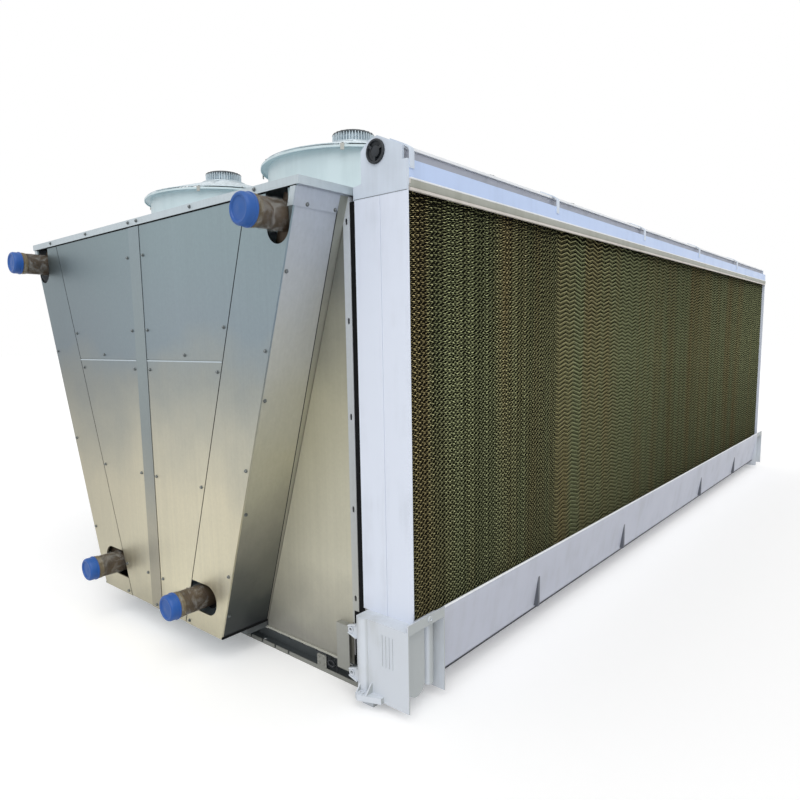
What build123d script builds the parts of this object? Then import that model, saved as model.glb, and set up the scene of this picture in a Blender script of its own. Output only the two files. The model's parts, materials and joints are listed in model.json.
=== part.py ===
"""V-bank dry cooler with a wetted pad module on one long side.

X runs across the cabinet, towards the pads. Y runs along it, from the header
end to the rear end. Z is up, with the floor at zero. All lengths are in mm.
Pieces are drawn with Y zero at the header end, then moved so that the origin
lies on the floor, midway between the anchor bolts.
"""
import math
import os

from build123d import *

# Cabinet: a V of two coils under a fan deck
FAN_ROWS = 5
FAN_PITCH = 1200.0
HEADER_BOX = 330.0
REAR_BOX = 100.0
DECK_MARGIN = 139.0
FOOT_WIDTH = 1128.0
CABINET_HEIGHT = 1950.0
SHEET = 4.0
COVER_LIP = 31.0
COIL_DEPTH = 200.0
POST_WIDTH = 98.0
POST_STAND = 2.0
STRIP_WIDTH = 300.0
ACCESS_HEIGHT = 1280.0
ACCESS_LAP = 25.0
PANEL_JOINT = 3.0

# Base frame under the cabinet
BEAM_HEIGHT = 100.0
BEAM_FLANGE = 60.0
BEAM_WALL = 5.0
BEAM_STOP = 27.0
BEAM_SETBACK = 115.0
BEAM_COUNT = 6
SILL_SETBACK = 140.0
SILL_HEIGHT = 30.0
SILL_WIDTH = 64.0
OUTER_RAIL_WIDTH = 60.0
SLOT_WIDTH = 14.0
SLOT_LENGTH = 40.0
SLOT_PITCH = 100.0
FOOT_BOLT = 18.0
FOOT_BOLT_SPACING = 1000.0

# Fans
FAN_GAP = 198.0
THROAT = 882.0
SHROUD_HEIGHT = 287.0
SHROUD_FLANGE = 36.0
FLANGE_HEIGHT = 10.0
GUARD_RISE = 117.0
GUARD_BAR = 10.0
GUARD_ARMS = 4
GUARD_TURN = 38.0
GUARD_ARM_WIDTH = 24.0
GUARD_FOOT = 30.0
GUARD_SEAT = 280.0
GUARD_SEAT_WIDTH = 20.0
MOTOR_FLANGE = 6.0
MOTOR_DIAMETER = 220.0
MOTOR_HEIGHT = 63.0
SHAFT_DIAMETER = 40.0
SHAFT_LENGTH = 74.0
SHAFT_CLEARANCE = 0.3
ROTOR_GAP = 6.0
HUB_DIAMETER = 196.0
HUB_HEIGHT = 280.0
BLADE_COUNT = 5
BLADE_CHORD = 220.0
BLADE_THICKNESS = 6.0
BLADE_PITCH = 28.0
TIP_CLEARANCE = 8.0

# Header pipes and their shipping caps
PIPE_OD = 114.3
PIPE_WALL = 4.0
PIPE_STICKOUT = 170.0
HEADER_OD = 127.0
UPPER_HEADER_LINE = 95.0
LOWER_HEADER_LINE = 240.0
UPPER_PIPE_INSET = 83.0
LOWER_PIPE_INSET = 217.0
UPPER_PIPE_DROP = 124.0
LOWER_PIPE_RISE = 164.0
HEADER_OVERRUN = 80.0
FEEDER_COUNT = 6
FEEDER_OD = 18.0
FEEDER_SHIFT = 40.0
CAP_LENGTH = 45.0
CAP_WALL = 5.8
CAP_FIT = 0.05
UPPER_HOLE_WIDTH = 130.0
UPPER_HOLE_DROP = 105.0
LOWER_NOTCH = 144.0
LOWER_NOTCH_INSET = 66.0

# Pad module beside the cabinet
MODULE_START = 262.0
PAD_COUNT = 5
MODULE_REAR_SETBACK = 2.0
PAD_DEPTH = 188.0
PAD_INSET = 18.0
PAD_RECESS = 22.0
PAD_SINK = 72.0
POST_WEB = 8.0
POST_CLEARANCE = 19.0
POST_RETURN = 76.0
POST_DROP = 26.0
POST_GROOVE = 2.0
INFILL_GAP = 6.0
CHANNEL_WIDTH = 36.0
CHANNEL_GAP = 29.0
CHANNEL_DEPTH = 38.0
CHANNEL_WALL = 4.0
CHANNEL_DROP = 35.0
CHANNEL_LIFT = 190.0
CHANNEL_SLOTS = 5
CHANNEL_SLOT_RISE = 110.0
CHANNEL_SLOT_PITCH = 388.0
CHANNEL_SLOT_WIDTH = 12.0
CHANNEL_SLOT_LENGTH = 26.0
BOX_COVER_WIDTH = 75.0
BOX_COVER_DEPTH = 28.0
BOX_COVER_BOTTOM = 76.0
BOX_COVER_HEIGHT = 205.0

# Water distribution along the top of the pads
FLASHING_WIDTH = 58.0
FLASHING = 4.0
HOOD_DROP = 30.0
HOOD_HEIGHT = 193.0
HOOD_SHOULDER_HEIGHT = 150.0
HOOD_RIDGE = 86.0
HOOD_BEND_SET = 43.0
HOOD_BEND_DROP = 9.0
HOOD_WALL = 6.0
EAVE_HEIGHT = 138.0
EAVE_SETBACK = 23.0
EAVE_OVERHANG = 15.0
EAVE_DEPTH = 10.0
HOLDER_WALL = 6.0
HOLDER_LIP = 18.0
LIP_BEAD = 6.0
LIP_BEAD_HEIGHT = 10.0
LIP_BAND_HEIGHT = 14.0
FASCIA_WALL = 6.0
FASCIA_LIFT = 17.0
FASCIA_HEIGHT = 69.0
CLIP_WIDTH = 26.0
CLIP_WALL = 5.0
CLIP_LAP = 20.0
CLIP_TAIL = 32.0
CLIP_SETBACK = 70.0
END_CLIP_SETBACK = 12.0
END_CAP_DEPTH = 12.0
END_CAP_LAP = 5.0
END_CAP_STEP_HEIGHT = 25.0
SPRAY_PIPE_OD = 90.0
SPRAY_PIPE_WALL = 4.0
SPRAY_PIPE_INSET = 8.0
SPRAY_PIPE_DROP = 57.0
PLUG_STAND = 8.0
PLUG_RIM = 6.0

# Sump under the pads
SUMP_STAND = 34.0
TROUGH_WALL = 6.0
TROUGH_TOP = 402.0
TROUGH_RIM = 30.0
TROUGH_BOTTOM = 100.0
TROUGH_BATTER = 43.0
TROUGH_LEDGE = 68.0
TROUGH_COUNT = 2
GUSSET_COUNT = 2
GUSSET_SETBACK = 830.0
GUSSET_PITCH = 1160.0
GUSSET_WIDTH = 18.0
GUSSET_HEIGHT = 160.0
GUSSET_DROP = 100.0
GUSSET_STAND = 24.0
SUMP_CAP_FRONT = 72.0
SUMP_CAP_LAP = 13.0
SUMP_CAP_BACK = 163.0
SUMP_CAP_WALL = 6.0
SUMP_CAP_BOTTOM = 41.0
SUMP_BODY_RECESS = 54.0
SUMP_BODY_BOTTOM = 76.0
BEAD_DIAMETER = 66.0
EAR_LENGTH = 48.0
EAR_HEIGHT = 64.0
EAR_HOLE = 14.0
EAR_LOWER = 114.0
EAR_UPPER = 302.0
SUMP_FOOT_INSET = 54.0
SUMP_FOOT_WIDTH = 60.0
SUMP_FOOT_TAB = 24.0
SUMP_FOOT_STEM = 30.0
SUMP_RIM = 42.0
LOBE_DIAMETER = 100.0
LOBE_HEIGHT = 113.0
LOBE_SETBACK = 92.0
LOBE_STAND = 20.0
FLUTE_DIAMETER = 44.0
FLUTE_SETBACK = 190.0

# Levels and stations worked out from the sizes above
SILL_TOP = BEAM_HEIGHT + SILL_HEIGHT
DECK_TOP = SILL_TOP + CABINET_HEIGHT
DECK_UNDER = DECK_TOP - SHEET
COIL_END = HEADER_BOX + FAN_ROWS * FAN_PITCH
CABINET_END = COIL_END + REAR_BOX
BRIM = THROAT / 2 + SHEET + SHROUD_FLANGE
FAN_SPREAD = 2 * BRIM + FAN_GAP
HALF_DECK = FAN_SPREAD / 2 + BRIM + DECK_MARGIN
HALF_FOOT = FOOT_WIDTH / 2
LEAN = (HALF_DECK - HALF_FOOT) / CABINET_HEIGHT
UPPER_PIPE_LEVEL = DECK_TOP - UPPER_PIPE_DROP
LOWER_PIPE_LEVEL = SILL_TOP + LOWER_PIPE_RISE
DECK_EDGE = HALF_DECK + SHEET
PAD_START = MODULE_START + POST_WEB
MODULE_END = CABINET_END - MODULE_REAR_SETBACK
PAD_LENGTH = (MODULE_END - POST_WEB - PAD_START) / PAD_COUNT
MODULE_MIDDLE = (MODULE_START + MODULE_END) / 2
HOOD_INNER = DECK_EDGE + FLASHING_WIDTH
PAD_BACK = HOOD_INNER + PAD_INSET
PAD_FACE = PAD_BACK + PAD_DEPTH
POST_INNER = DECK_EDGE + POST_CLEARANCE
POST_OUTER = PAD_FACE + PAD_RECESS
CHANNEL_OUTER = POST_INNER - CHANNEL_GAP
CHANNEL_INNER = CHANNEL_OUTER - CHANNEL_WIDTH
HOOD_BASE = DECK_TOP - HOOD_DROP
HOOD_CREST = HOOD_BASE + HOOD_HEIGHT
HOOD_CREST_X = HOOD_INNER + HOOD_RIDGE
HOOD_EAVE = HOOD_BASE + EAVE_HEIGHT
HOOD_EAVE_X = POST_OUTER - EAVE_SETBACK
HOOD_SIDE = HOOD_EAVE_X - EAVE_OVERHANG
PAD_TOP = HOOD_BASE - HOLDER_WALL
POST_TOP = HOOD_BASE - POST_DROP
CHANNEL_TOP = DECK_TOP - CHANNEL_DROP
CHANNEL_FOOT = BEAM_HEIGHT + CHANNEL_LIFT
FASCIA_BOTTOM = HOOD_BASE + FASCIA_LIFT
FASCIA_TOP = FASCIA_BOTTOM + FASCIA_HEIGHT
SPRAY_PIPE_X = HOOD_CREST_X - SPRAY_PIPE_INSET
SPRAY_PIPE_Z = HOOD_CREST - SPRAY_PIPE_DROP
TROUGH_BACK = HOOD_INNER
TROUGH_FACE = POST_OUTER + SUMP_STAND
TROUGH_TOE = TROUGH_FACE - TROUGH_BATTER
TROUGH_SHOULDER = TROUGH_TOP - TROUGH_RIM
PAD_BOTTOM = TROUGH_TOP - PAD_SINK
POST_BOTTOM = TROUGH_SHOULDER
SUMP_CAP_INNER = TROUGH_BACK - SUMP_CAP_LAP
SUMP_BODY_FACE = TROUGH_FACE - SUMP_BODY_RECESS
FLANGE_TOP = DECK_TOP + SHROUD_HEIGHT
SEAT_TOP = FLANGE_TOP + GUARD_RISE
MOTOR_BASE = SEAT_TOP + MOTOR_FLANGE
HUB_TOP = SEAT_TOP - ROTOR_GAP


def face_x(z):
    """Half width of the V at height z."""
    return HALF_FOOT + LEAN * (z - SILL_TOP)


def block(x0, x1, y0, y1, z0, z1):
    """Box between two corners."""
    return Pos((x0 + x1) / 2, (y0 + y1) / 2, (z0 + z1) / 2) * Box(x1 - x0, y1 - y0, z1 - z0)


def prism(points, y0, y1):
    """Outline in X and Z, carried along Y from y0 to y1."""
    outline = make_face(Polyline(*points, close=True))
    return extrude(Plane.XZ.offset(-y1) * outline, amount=y1 - y0)


def rod(diameter, y0, y1, x, z):
    """Round bar along Y."""
    return Pos(x, (y0 + y1) / 2, z) * Rot(90, 0, 0) * Cylinder(diameter / 2, y1 - y0)


def disc(diameter, z0, z1, x=0.0, y=0.0):
    """Round bar along Z."""
    return Pos(x, y, (z0 + z1) / 2) * Cylinder(diameter / 2, z1 - z0)


def slot_cut(width, length, depth):
    """Obround cutter along Y, long in Z."""
    straight = length - width
    ends = [rod(width, -depth, depth, 0, side * straight / 2) for side in (-1, 1)]
    return block(-width / 2, width / 2, -depth, depth, -straight / 2, straight / 2) + ends


def both_sides(shape):
    """The piece and its mirror image across the cabinet."""
    return [shape, mirror(shape, about=Plane.YZ)]


def both_ends(shape):
    """The piece and its mirror image at the module's other end."""
    return [shape, mirror(shape, about=Plane.XZ.offset(-MODULE_MIDDLE))]


def fan_places():
    """Fan centres, two across and FAN_ROWS along."""
    rows = [HEADER_BOX + (row + 0.5) * FAN_PITCH for row in range(FAN_ROWS)]
    return [(side * FAN_SPREAD / 2, y) for y in rows for side in (-1, 1)]


# Base frame
def beam_lines():
    """Front face of each cross beam, from the header end to the rear end."""
    last = MODULE_END - BEAM_FLANGE
    step = (last - MODULE_START) / (BEAM_COUNT - 1)
    return [MODULE_START + step * index for index in range(BEAM_COUNT)]


def cross_beam(y, reach):
    """Channel lying across the base, open to the front, with bolt slots in its web."""
    web = y + BEAM_FLANGE - BEAM_WALL
    beam = block(-HALF_FOOT, reach, y, y + BEAM_FLANGE, 0, BEAM_HEIGHT)
    beam -= block(-HALF_FOOT, reach, y, web, BEAM_WALL, BEAM_HEIGHT - BEAM_WALL)
    count = int((reach + HALF_FOOT) // SLOT_PITCH)
    cutter = Rot(0, 90, 0) * slot_cut(SLOT_WIDTH, SLOT_LENGTH, BEAM_WALL * 2)
    slots = [Pos(reach - SLOT_PITCH * (n + 0.5), web, BEAM_HEIGHT / 2) * cutter for n in range(count)]
    return beam - slots


def foot_bolts(y):
    """Cutters for the two anchor bolts in a beam's bottom flange."""
    x = FOOT_BOLT_SPACING / 2
    return both_sides(disc(FOOT_BOLT, -BEAM_WALL, BEAM_WALL * 2, x, y + BEAM_FLANGE / 2))


def base_cross_beams():
    first, *between, _ = beam_lines()
    end = cross_beam(first, SUMP_CAP_INNER - BEAM_STOP) - foot_bolts(first)
    return both_ends(end) + [cross_beam(y, TROUGH_TOE - BEAM_SETBACK) for y in between]


def base_sills():
    far = CABINET_END - SHEET
    sill = block(HALF_FOOT - SILL_WIDTH, HALF_FOOT, SILL_SETBACK, far, BEAM_HEIGHT, SILL_TOP)
    outer = CHANNEL_INNER + OUTER_RAIL_WIDTH
    inset = MODULE_START + CHANNEL_DEPTH
    rail = block(CHANNEL_INNER, outer, inset, MODULE_END - CHANNEL_DEPTH, BEAM_HEIGHT, SILL_TOP)
    return both_sides(sill) + [rail]


def bottom_tray():
    back = SHEET * 2
    return [block(-HALF_FOOT, HALF_FOOT, back, CABINET_END - SHEET, SILL_TOP, SILL_TOP + SHEET)]


# Cabinet
def slanted(inset, depth, z0, z1, y0, y1):
    """Slab parallel to the right face of the V, set in by inset."""
    outer = [(face_x(z0) - inset, z0), (face_x(z1) - inset, z1)]
    inner = [(face_x(z1) - inset - depth, z1), (face_x(z0) - inset - depth, z0)]
    return prism(outer + inner, y0, y1)


def coil():
    return slanted(0, COIL_DEPTH, SILL_TOP + SHEET, DECK_UNDER, HEADER_BOX, COIL_END)


def side_covers():
    front = slanted(0, SHEET, SILL_TOP + SHEET, DECK_UNDER, SHEET * 2, HEADER_BOX)
    rear = slanted(0, SHEET, SILL_TOP + SHEET, DECK_UNDER, COIL_END, CABINET_END - SHEET)
    return both_sides(front) + both_sides(rear)


def v_outline(z0, z1):
    return [(-face_x(z0), z0), (face_x(z0), z0), (face_x(z1), z1), (-face_x(z1), z1)]


def pipe_holes(y0, y1):
    """Cutters for the four pipe holes in the right and left strips."""
    upper_x = face_x(UPPER_PIPE_LEVEL) - UPPER_PIPE_INSET
    half = UPPER_HOLE_WIDTH / 2
    low = UPPER_PIPE_LEVEL - UPPER_HOLE_DROP + half
    upper = block(upper_x - half, upper_x + half, y0, y1, low, DECK_TOP)
    upper += rod(UPPER_HOLE_WIDTH, y0, y1, upper_x, low)
    level = LOWER_PIPE_LEVEL
    edge = face_x(level)
    lower_x = edge - LOWER_PIPE_INSET + LOWER_NOTCH_INSET
    half = LOWER_NOTCH / 2
    lower = rod(LOWER_NOTCH, y0, y1, lower_x, level)
    lower += block(edge - STRIP_WIDTH - half, lower_x, y0, y1, level - half, level + half)
    return both_sides(upper) + both_sides(lower)


def access_outline(margin):
    """Right access opening, between the centre post and the slanted strip."""
    top = SILL_TOP + ACCESS_HEIGHT - margin
    foot = SILL_TOP + margin
    inner = POST_WIDTH / 2 + margin
    return [(inner, foot), (face_x(foot) - STRIP_WIDTH - margin, foot),
            (face_x(top) - STRIP_WIDTH - margin, top), (inner, top)]


def front_end_wall():
    wall = prism(v_outline(SILL_TOP, DECK_UNDER), SHEET, SHEET * 2)
    doors = both_sides(prism(access_outline(ACCESS_LAP), 0, SHEET * 3))
    return [wall - pipe_holes(0, SHEET * 3) - doors]


def front_side_strips():
    strip = slanted(0, STRIP_WIDTH - PANEL_JOINT, SILL_TOP, DECK_UNDER, 0, SHEET)
    return both_sides(strip - pipe_holes(-SHEET, SHEET * 2))


def front_upper_panels():
    foot = SILL_TOP + ACCESS_HEIGHT
    inner = POST_WIDTH / 2 + PANEL_JOINT
    outer = [(face_x(z) - STRIP_WIDTH - PANEL_JOINT, z) for z in (foot, DECK_UNDER)]
    return both_sides(prism([(inner, foot)] + outer + [(inner, DECK_UNDER)], 0, SHEET))


def front_access_panels():
    return both_sides(prism(access_outline(PANEL_JOINT), 0, SHEET))


def front_center_post():
    return [block(-POST_WIDTH / 2, POST_WIDTH / 2, -POST_STAND, SHEET, SILL_TOP, DECK_TOP - COVER_LIP)]


def lipped_cover(y0, y1, lip_y0):
    """Flat cover with folded lips along both sides and along one end."""
    cover = block(-HALF_DECK, HALF_DECK, y0, y1, DECK_UNDER, DECK_TOP)
    low = DECK_TOP - COVER_LIP
    cover += both_sides(block(HALF_DECK, HALF_DECK + SHEET, y0, y1, low, DECK_TOP))
    lip = block(-HALF_DECK - SHEET, HALF_DECK + SHEET, lip_y0, lip_y0 + SHEET, low, DECK_TOP)
    return cover + lip


def end_top_covers():
    front = lipped_cover(0, HEADER_BOX, -SHEET)
    rear = lipped_cover(COIL_END, CABINET_END, CABINET_END)
    return [front, rear]


def rear_end_panel():
    return [prism(v_outline(SILL_TOP, DECK_UNDER), CABINET_END - SHEET, CABINET_END)]


# Fans
def fan_decks():
    low = DECK_TOP - COVER_LIP
    decks = []
    for row in range(FAN_ROWS):
        y0 = HEADER_BOX + row * FAN_PITCH
        deck = block(-HALF_DECK, HALF_DECK, y0, y0 + FAN_PITCH, DECK_UNDER, DECK_TOP)
        deck += both_sides(block(HALF_DECK, HALF_DECK + SHEET, y0, y0 + FAN_PITCH, low, DECK_TOP))
        holes = [disc(THROAT, low, DECK_TOP + SHEET, x, y) for x, y in fan_places()[2 * row:2 * row + 2]]
        decks.append(deck - holes)
    return decks


def fan_shroud():
    """Throat ring with a foot flange and a turned-out top flange."""
    bore = THROAT / 2
    wall = bore + SHEET
    height = SHROUD_HEIGHT
    profile = [(bore, 0), (BRIM, 0), (BRIM, SHEET), (wall, SHEET), (wall, height - SHEET),
               (BRIM - SHEET, height - SHEET), (BRIM - SHEET, height - FLANGE_HEIGHT),
               (BRIM, height - FLANGE_HEIGHT), (BRIM, height), (bore, height)]
    return Pos(0, 0, DECK_TOP) * revolve(Plane.XZ * make_face(Polyline(*profile, close=True)), Axis.Z)


def ring(outer, inner, z0, z1):
    return disc(outer, z0, z1) - disc(inner, z0 - SHEET, z1 + SHEET)


def fan_guard():
    """Four flat arms from feet on the shroud flange up to the ring that seats the motor."""
    low = FLANGE_TOP
    heel = BRIM - GUARD_FOOT
    tip = GUARD_SEAT / 2 - GUARD_BAR
    guard = ring(GUARD_SEAT, GUARD_SEAT - 2 * GUARD_SEAT_WIDTH, SEAT_TOP - GUARD_BAR, SEAT_TOP)
    arm = prism([(BRIM, low), (BRIM, low + GUARD_BAR), (heel, low + GUARD_BAR), (tip, SEAT_TOP),
                 (tip, SEAT_TOP - GUARD_BAR), (heel, low)], -GUARD_ARM_WIDTH / 2, GUARD_ARM_WIDTH / 2)
    return guard + [Rot(0, 0, GUARD_TURN + n * 360 / GUARD_ARMS) * arm for n in range(GUARD_ARMS)]


def fan_motor():
    """Motor can on its seat, with the shaft that carries the rotor."""
    can = disc(GUARD_SEAT, SEAT_TOP, MOTOR_BASE)
    can += disc(MOTOR_DIAMETER, MOTOR_BASE, MOTOR_BASE + MOTOR_HEIGHT)
    return can + disc(SHAFT_DIAMETER, MOTOR_BASE - SHAFT_LENGTH, MOTOR_BASE)


def fan_rotor():
    """Hub bored for the shaft, with flat pitched blades inside the throat."""
    bore_foot = MOTOR_BASE - SHAFT_LENGTH - ROTOR_GAP
    hub = disc(HUB_DIAMETER, HUB_TOP - HUB_HEIGHT, HUB_TOP)
    reach = THROAT / 2 - TIP_CLEARANCE
    blade_z = HUB_TOP - HUB_HEIGHT + BLADE_CHORD * math.sin(math.radians(BLADE_PITCH)) / 2
    flat = Pos(reach / 2, 0, 0) * Box(reach, BLADE_CHORD, BLADE_THICKNESS)
    blade = Pos(0, 0, blade_z) * Rot(BLADE_PITCH, 0, 0) * flat
    blades = [Rot(0, 0, n * 360 / BLADE_COUNT) * blade for n in range(BLADE_COUNT)]
    swept = disc(reach * 2, HUB_TOP - HUB_HEIGHT - BLADE_CHORD, HUB_TOP)
    bore = disc(SHAFT_DIAMETER + 2 * SHAFT_CLEARANCE, bore_foot, HUB_TOP + ROTOR_GAP)
    return ((hub + blades) & swept) - bore


def at_fans(shape):
    return [Pos(x, y, 0) * shape for x, y in fan_places()]


# Header pipes
def header(line, inset, level, shrink):
    """Sloping header with its stub; shrink gives the outside or the inside."""
    low = LOWER_PIPE_LEVEL - HEADER_OVERRUN + shrink
    high = UPPER_PIPE_LEVEL + HEADER_OVERRUN - shrink
    middle = (low + high) / 2
    length = math.hypot(high - low, (high - low) * LEAN)
    tilt = Rot(0, math.degrees(math.atan(LEAN)), 0)
    tube = Pos(face_x(middle) - inset, line, middle) * tilt * Cylinder(HEADER_OD / 2 - shrink, length)
    return tube + rod(PIPE_OD - 2 * shrink, -PIPE_STICKOUT, line, face_x(level) - inset, level)


def header_pipe(line, inset, level):
    """Hollow header, its stub, and the feeders that run back to the coil."""
    step = (UPPER_PIPE_LEVEL - LOWER_PIPE_LEVEL) / FEEDER_COUNT
    levels = [LOWER_PIPE_LEVEL + (n + 0.5) * step for n in range(FEEDER_COUNT)]
    feeders = [rod(FEEDER_OD, line, HEADER_BOX, face_x(z) - inset + FEEDER_SHIFT, z) for z in levels]
    return header(line, inset, level, 0) + feeders - header(line, inset, level, PIPE_WALL)


def header_pipes():
    upper = header_pipe(UPPER_HEADER_LINE, UPPER_PIPE_INSET, UPPER_PIPE_LEVEL)
    lower = header_pipe(LOWER_HEADER_LINE, LOWER_PIPE_INSET, LOWER_PIPE_LEVEL)
    return both_sides(upper) + both_sides(lower)


def pipe_caps():
    caps = []
    for inset, z in ((UPPER_PIPE_INSET, UPPER_PIPE_LEVEL), (LOWER_PIPE_INSET, LOWER_PIPE_LEVEL)):
        x = face_x(z) - inset
        nose = -PIPE_STICKOUT - CAP_WALL
        cap = rod(PIPE_OD + 2 * CAP_WALL, nose, nose + CAP_LENGTH, x, z)
        cap -= rod(PIPE_OD + 2 * CAP_FIT, -PIPE_STICKOUT, nose + CAP_LENGTH + CAP_WALL, x, z)
        caps += both_sides(cap)
    return caps


# Pad module: posts, infill and pads
def infill_panels():
    inner = HALF_FOOT + INFILL_GAP
    top = SILL_TOP + (CHANNEL_INNER - inner) / LEAN
    outline = [(inner, BEAM_HEIGHT), (CHANNEL_INNER, BEAM_HEIGHT), (CHANNEL_INNER, top), (inner, SILL_TOP)]
    return both_ends(prism(outline, MODULE_START, MODULE_START + SHEET))


def slotted_channels():
    back = MODULE_START + CHANNEL_DEPTH
    channel = block(CHANNEL_INNER, CHANNEL_OUTER, MODULE_START, back, CHANNEL_FOOT, CHANNEL_TOP)
    channel -= block(CHANNEL_INNER + CHANNEL_WALL, CHANNEL_OUTER - CHANNEL_WALL,
                     MODULE_START + CHANNEL_WALL, back, CHANNEL_FOOT, CHANNEL_TOP)
    middle = (CHANNEL_INNER + CHANNEL_OUTER) / 2
    cutter = slot_cut(CHANNEL_SLOT_WIDTH, CHANNEL_SLOT_LENGTH, CHANNEL_WALL * 2)
    levels = [CHANNEL_FOOT + CHANNEL_SLOT_RISE + n * CHANNEL_SLOT_PITCH for n in range(CHANNEL_SLOTS)]
    channel -= [Pos(middle, MODULE_START, z) * cutter for z in levels]
    cabinet = slanted(0, HALF_FOOT, SILL_TOP, DECK_TOP, MODULE_START - SHEET, back + SHEET)
    return both_ends(channel - cabinet)


def corner_box_cover():
    outer = CHANNEL_INNER
    inner = outer - BOX_COVER_WIDTH
    top = BOX_COVER_BOTTOM + BOX_COVER_HEIGHT
    front = MODULE_START - BOX_COVER_DEPTH
    cover = block(inner, outer, front, MODULE_START, BOX_COVER_BOTTOM, top)
    hollow = block(inner + SHEET, outer, front + SHEET, MODULE_START, BOX_COVER_BOTTOM, top - SHEET)
    return [cover - hollow]


def pad_posts():
    front = MODULE_START + POST_WEB
    post = block(POST_INNER, POST_OUTER, MODULE_START, front, POST_BOTTOM, POST_TOP)
    post += block(POST_INNER, POST_INNER + POST_WEB, front, front + POST_RETURN, POST_BOTTOM, POST_TOP)
    middle = (POST_INNER + POST_OUTER) / 2
    groove = block(middle - POST_GROOVE / 2, middle + POST_GROOVE / 2,
                   MODULE_START, MODULE_START + POST_GROOVE, POST_BOTTOM, POST_TOP)
    return both_ends(post - groove)


def evaporative_pads():
    starts = [PAD_START + n * PAD_LENGTH for n in range(PAD_COUNT)]
    return [block(PAD_BACK, PAD_FACE, y, y + PAD_LENGTH, PAD_BOTTOM, PAD_TOP) for y in starts]


# Pad module: water distribution
def cap_inner():
    """Face of the near top end cap that the long profiles butt against."""
    return MODULE_START + END_CAP_DEPTH


def along_module(points):
    return prism(points, cap_inner(), 2 * MODULE_MIDDLE - cap_inner())


def pad_top_holder():
    """Channel over the pads, with a banded lip that carries the fascia."""
    inner = HOOD_INNER
    low = PAD_TOP - HOLDER_LIP
    back = POST_OUTER - HOLDER_WALL
    bead = POST_OUTER + LIP_BEAD
    band = low + LIP_BEAD_HEIGHT
    top = FASCIA_BOTTOM
    points = [(inner, low), (inner + HOLDER_WALL, low), (inner + HOLDER_WALL, PAD_TOP),
              (back, PAD_TOP), (back, low), (bead, low), (bead, band), (POST_OUTER, band),
              (POST_OUTER, band + LIP_BAND_HEIGHT), (bead, band + LIP_BAND_HEIGHT), (bead, top),
              (back, top), (back, HOOD_BASE), (inner, HOOD_BASE)]
    return [along_module(points)]


def hood_slope(x):
    """Height of the hood's outer slope at x."""
    return HOOD_CREST + (HOOD_EAVE - HOOD_CREST) * (x - HOOD_CREST_X) / (HOOD_EAVE_X - HOOD_CREST_X)


def hood_back(inset):
    """Points up the hood's inner side to its crest."""
    shoulder = HOOD_BASE + HOOD_SHOULDER_HEIGHT
    return [(HOOD_INNER + inset, shoulder - inset / 2),
            (HOOD_INNER + HOOD_BEND_SET, HOOD_CREST - HOOD_BEND_DROP - inset),
            (HOOD_CREST_X, HOOD_CREST - inset)]


def distribution_hood():
    """Folded hood over the spray pipe, with an eave above the fascia."""
    under = HOOD_EAVE - EAVE_DEPTH
    outside = [(HOOD_INNER, HOOD_BASE)] + hood_back(0)
    outside += [(HOOD_EAVE_X, HOOD_EAVE), (HOOD_EAVE_X, under), (HOOD_SIDE, under), (HOOD_SIDE, HOOD_BASE)]
    side = HOOD_SIDE - HOOD_WALL
    low = HOOD_BASE - HOOD_WALL
    inside = [(HOOD_INNER + HOOD_WALL, low)] + hood_back(HOOD_WALL)
    inside += [(side, hood_slope(side) - HOOD_WALL), (side, low)]
    return [along_module(outside) - along_module(inside)]


def fascia():
    """Face board hung in front of the hood, turned in along its foot."""
    inner = POST_OUTER - FASCIA_WALL
    turn = FASCIA_BOTTOM + FASCIA_WALL
    points = [(POST_OUTER, FASCIA_BOTTOM), (POST_OUTER, FASCIA_TOP), (inner, FASCIA_TOP),
              (inner, turn), (HOOD_SIDE, turn), (HOOD_SIDE, FASCIA_BOTTOM)]
    return [along_module(points)]


def fascia_clips():
    """Straps from the eave over the fascia, one by each pad joint and one at the near end."""
    start = HOOD_EAVE_X - CLIP_LAP
    knee = HOOD_EAVE - EAVE_SETBACK
    tail = FASCIA_TOP - CLIP_TAIL
    face = POST_OUTER + CLIP_WALL
    points = [(start, hood_slope(start)), (HOOD_EAVE_X, HOOD_EAVE), (POST_OUTER, knee), (POST_OUTER, tail),
              (face, tail), (face, knee + CLIP_WALL), (HOOD_EAVE_X, HOOD_EAVE + CLIP_WALL),
              (start, hood_slope(start) + CLIP_WALL)]
    joints = [PAD_START + n * PAD_LENGTH - CLIP_SETBACK for n in range(1, PAD_COUNT)]
    lines = [MODULE_START + END_CLIP_SETBACK] + joints
    return [prism(points, y, y + CLIP_WIDTH) for y in lines]


def top_end_caps():
    foot = POST_INNER - END_CAP_LAP
    step = HOOD_BASE + END_CAP_STEP_HEIGHT
    points = [(foot, POST_TOP), (foot, step), (HOOD_INNER, step + HOLDER_WALL)] + hood_back(0)
    points += [(HOOD_EAVE_X, HOOD_EAVE), (HOOD_EAVE_X, FASCIA_TOP), (POST_OUTER, FASCIA_TOP),
               (POST_OUTER, POST_TOP)]
    cap = prism(points, MODULE_START, cap_inner())
    cap -= block(foot, POST_OUTER, PAD_START, cap_inner(), POST_TOP, PAD_TOP)
    bore = SPRAY_PIPE_OD + 2 * CAP_FIT
    return both_ends(cap - rod(bore, MODULE_START, cap_inner(), SPRAY_PIPE_X, SPRAY_PIPE_Z))


def distribution_pipe():
    bore = SPRAY_PIPE_OD - 2 * SPRAY_PIPE_WALL
    outer = rod(SPRAY_PIPE_OD, MODULE_START, MODULE_END, SPRAY_PIPE_X, SPRAY_PIPE_Z)
    return [outer - rod(bore, MODULE_START, MODULE_END, SPRAY_PIPE_X, SPRAY_PIPE_Z)]


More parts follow.
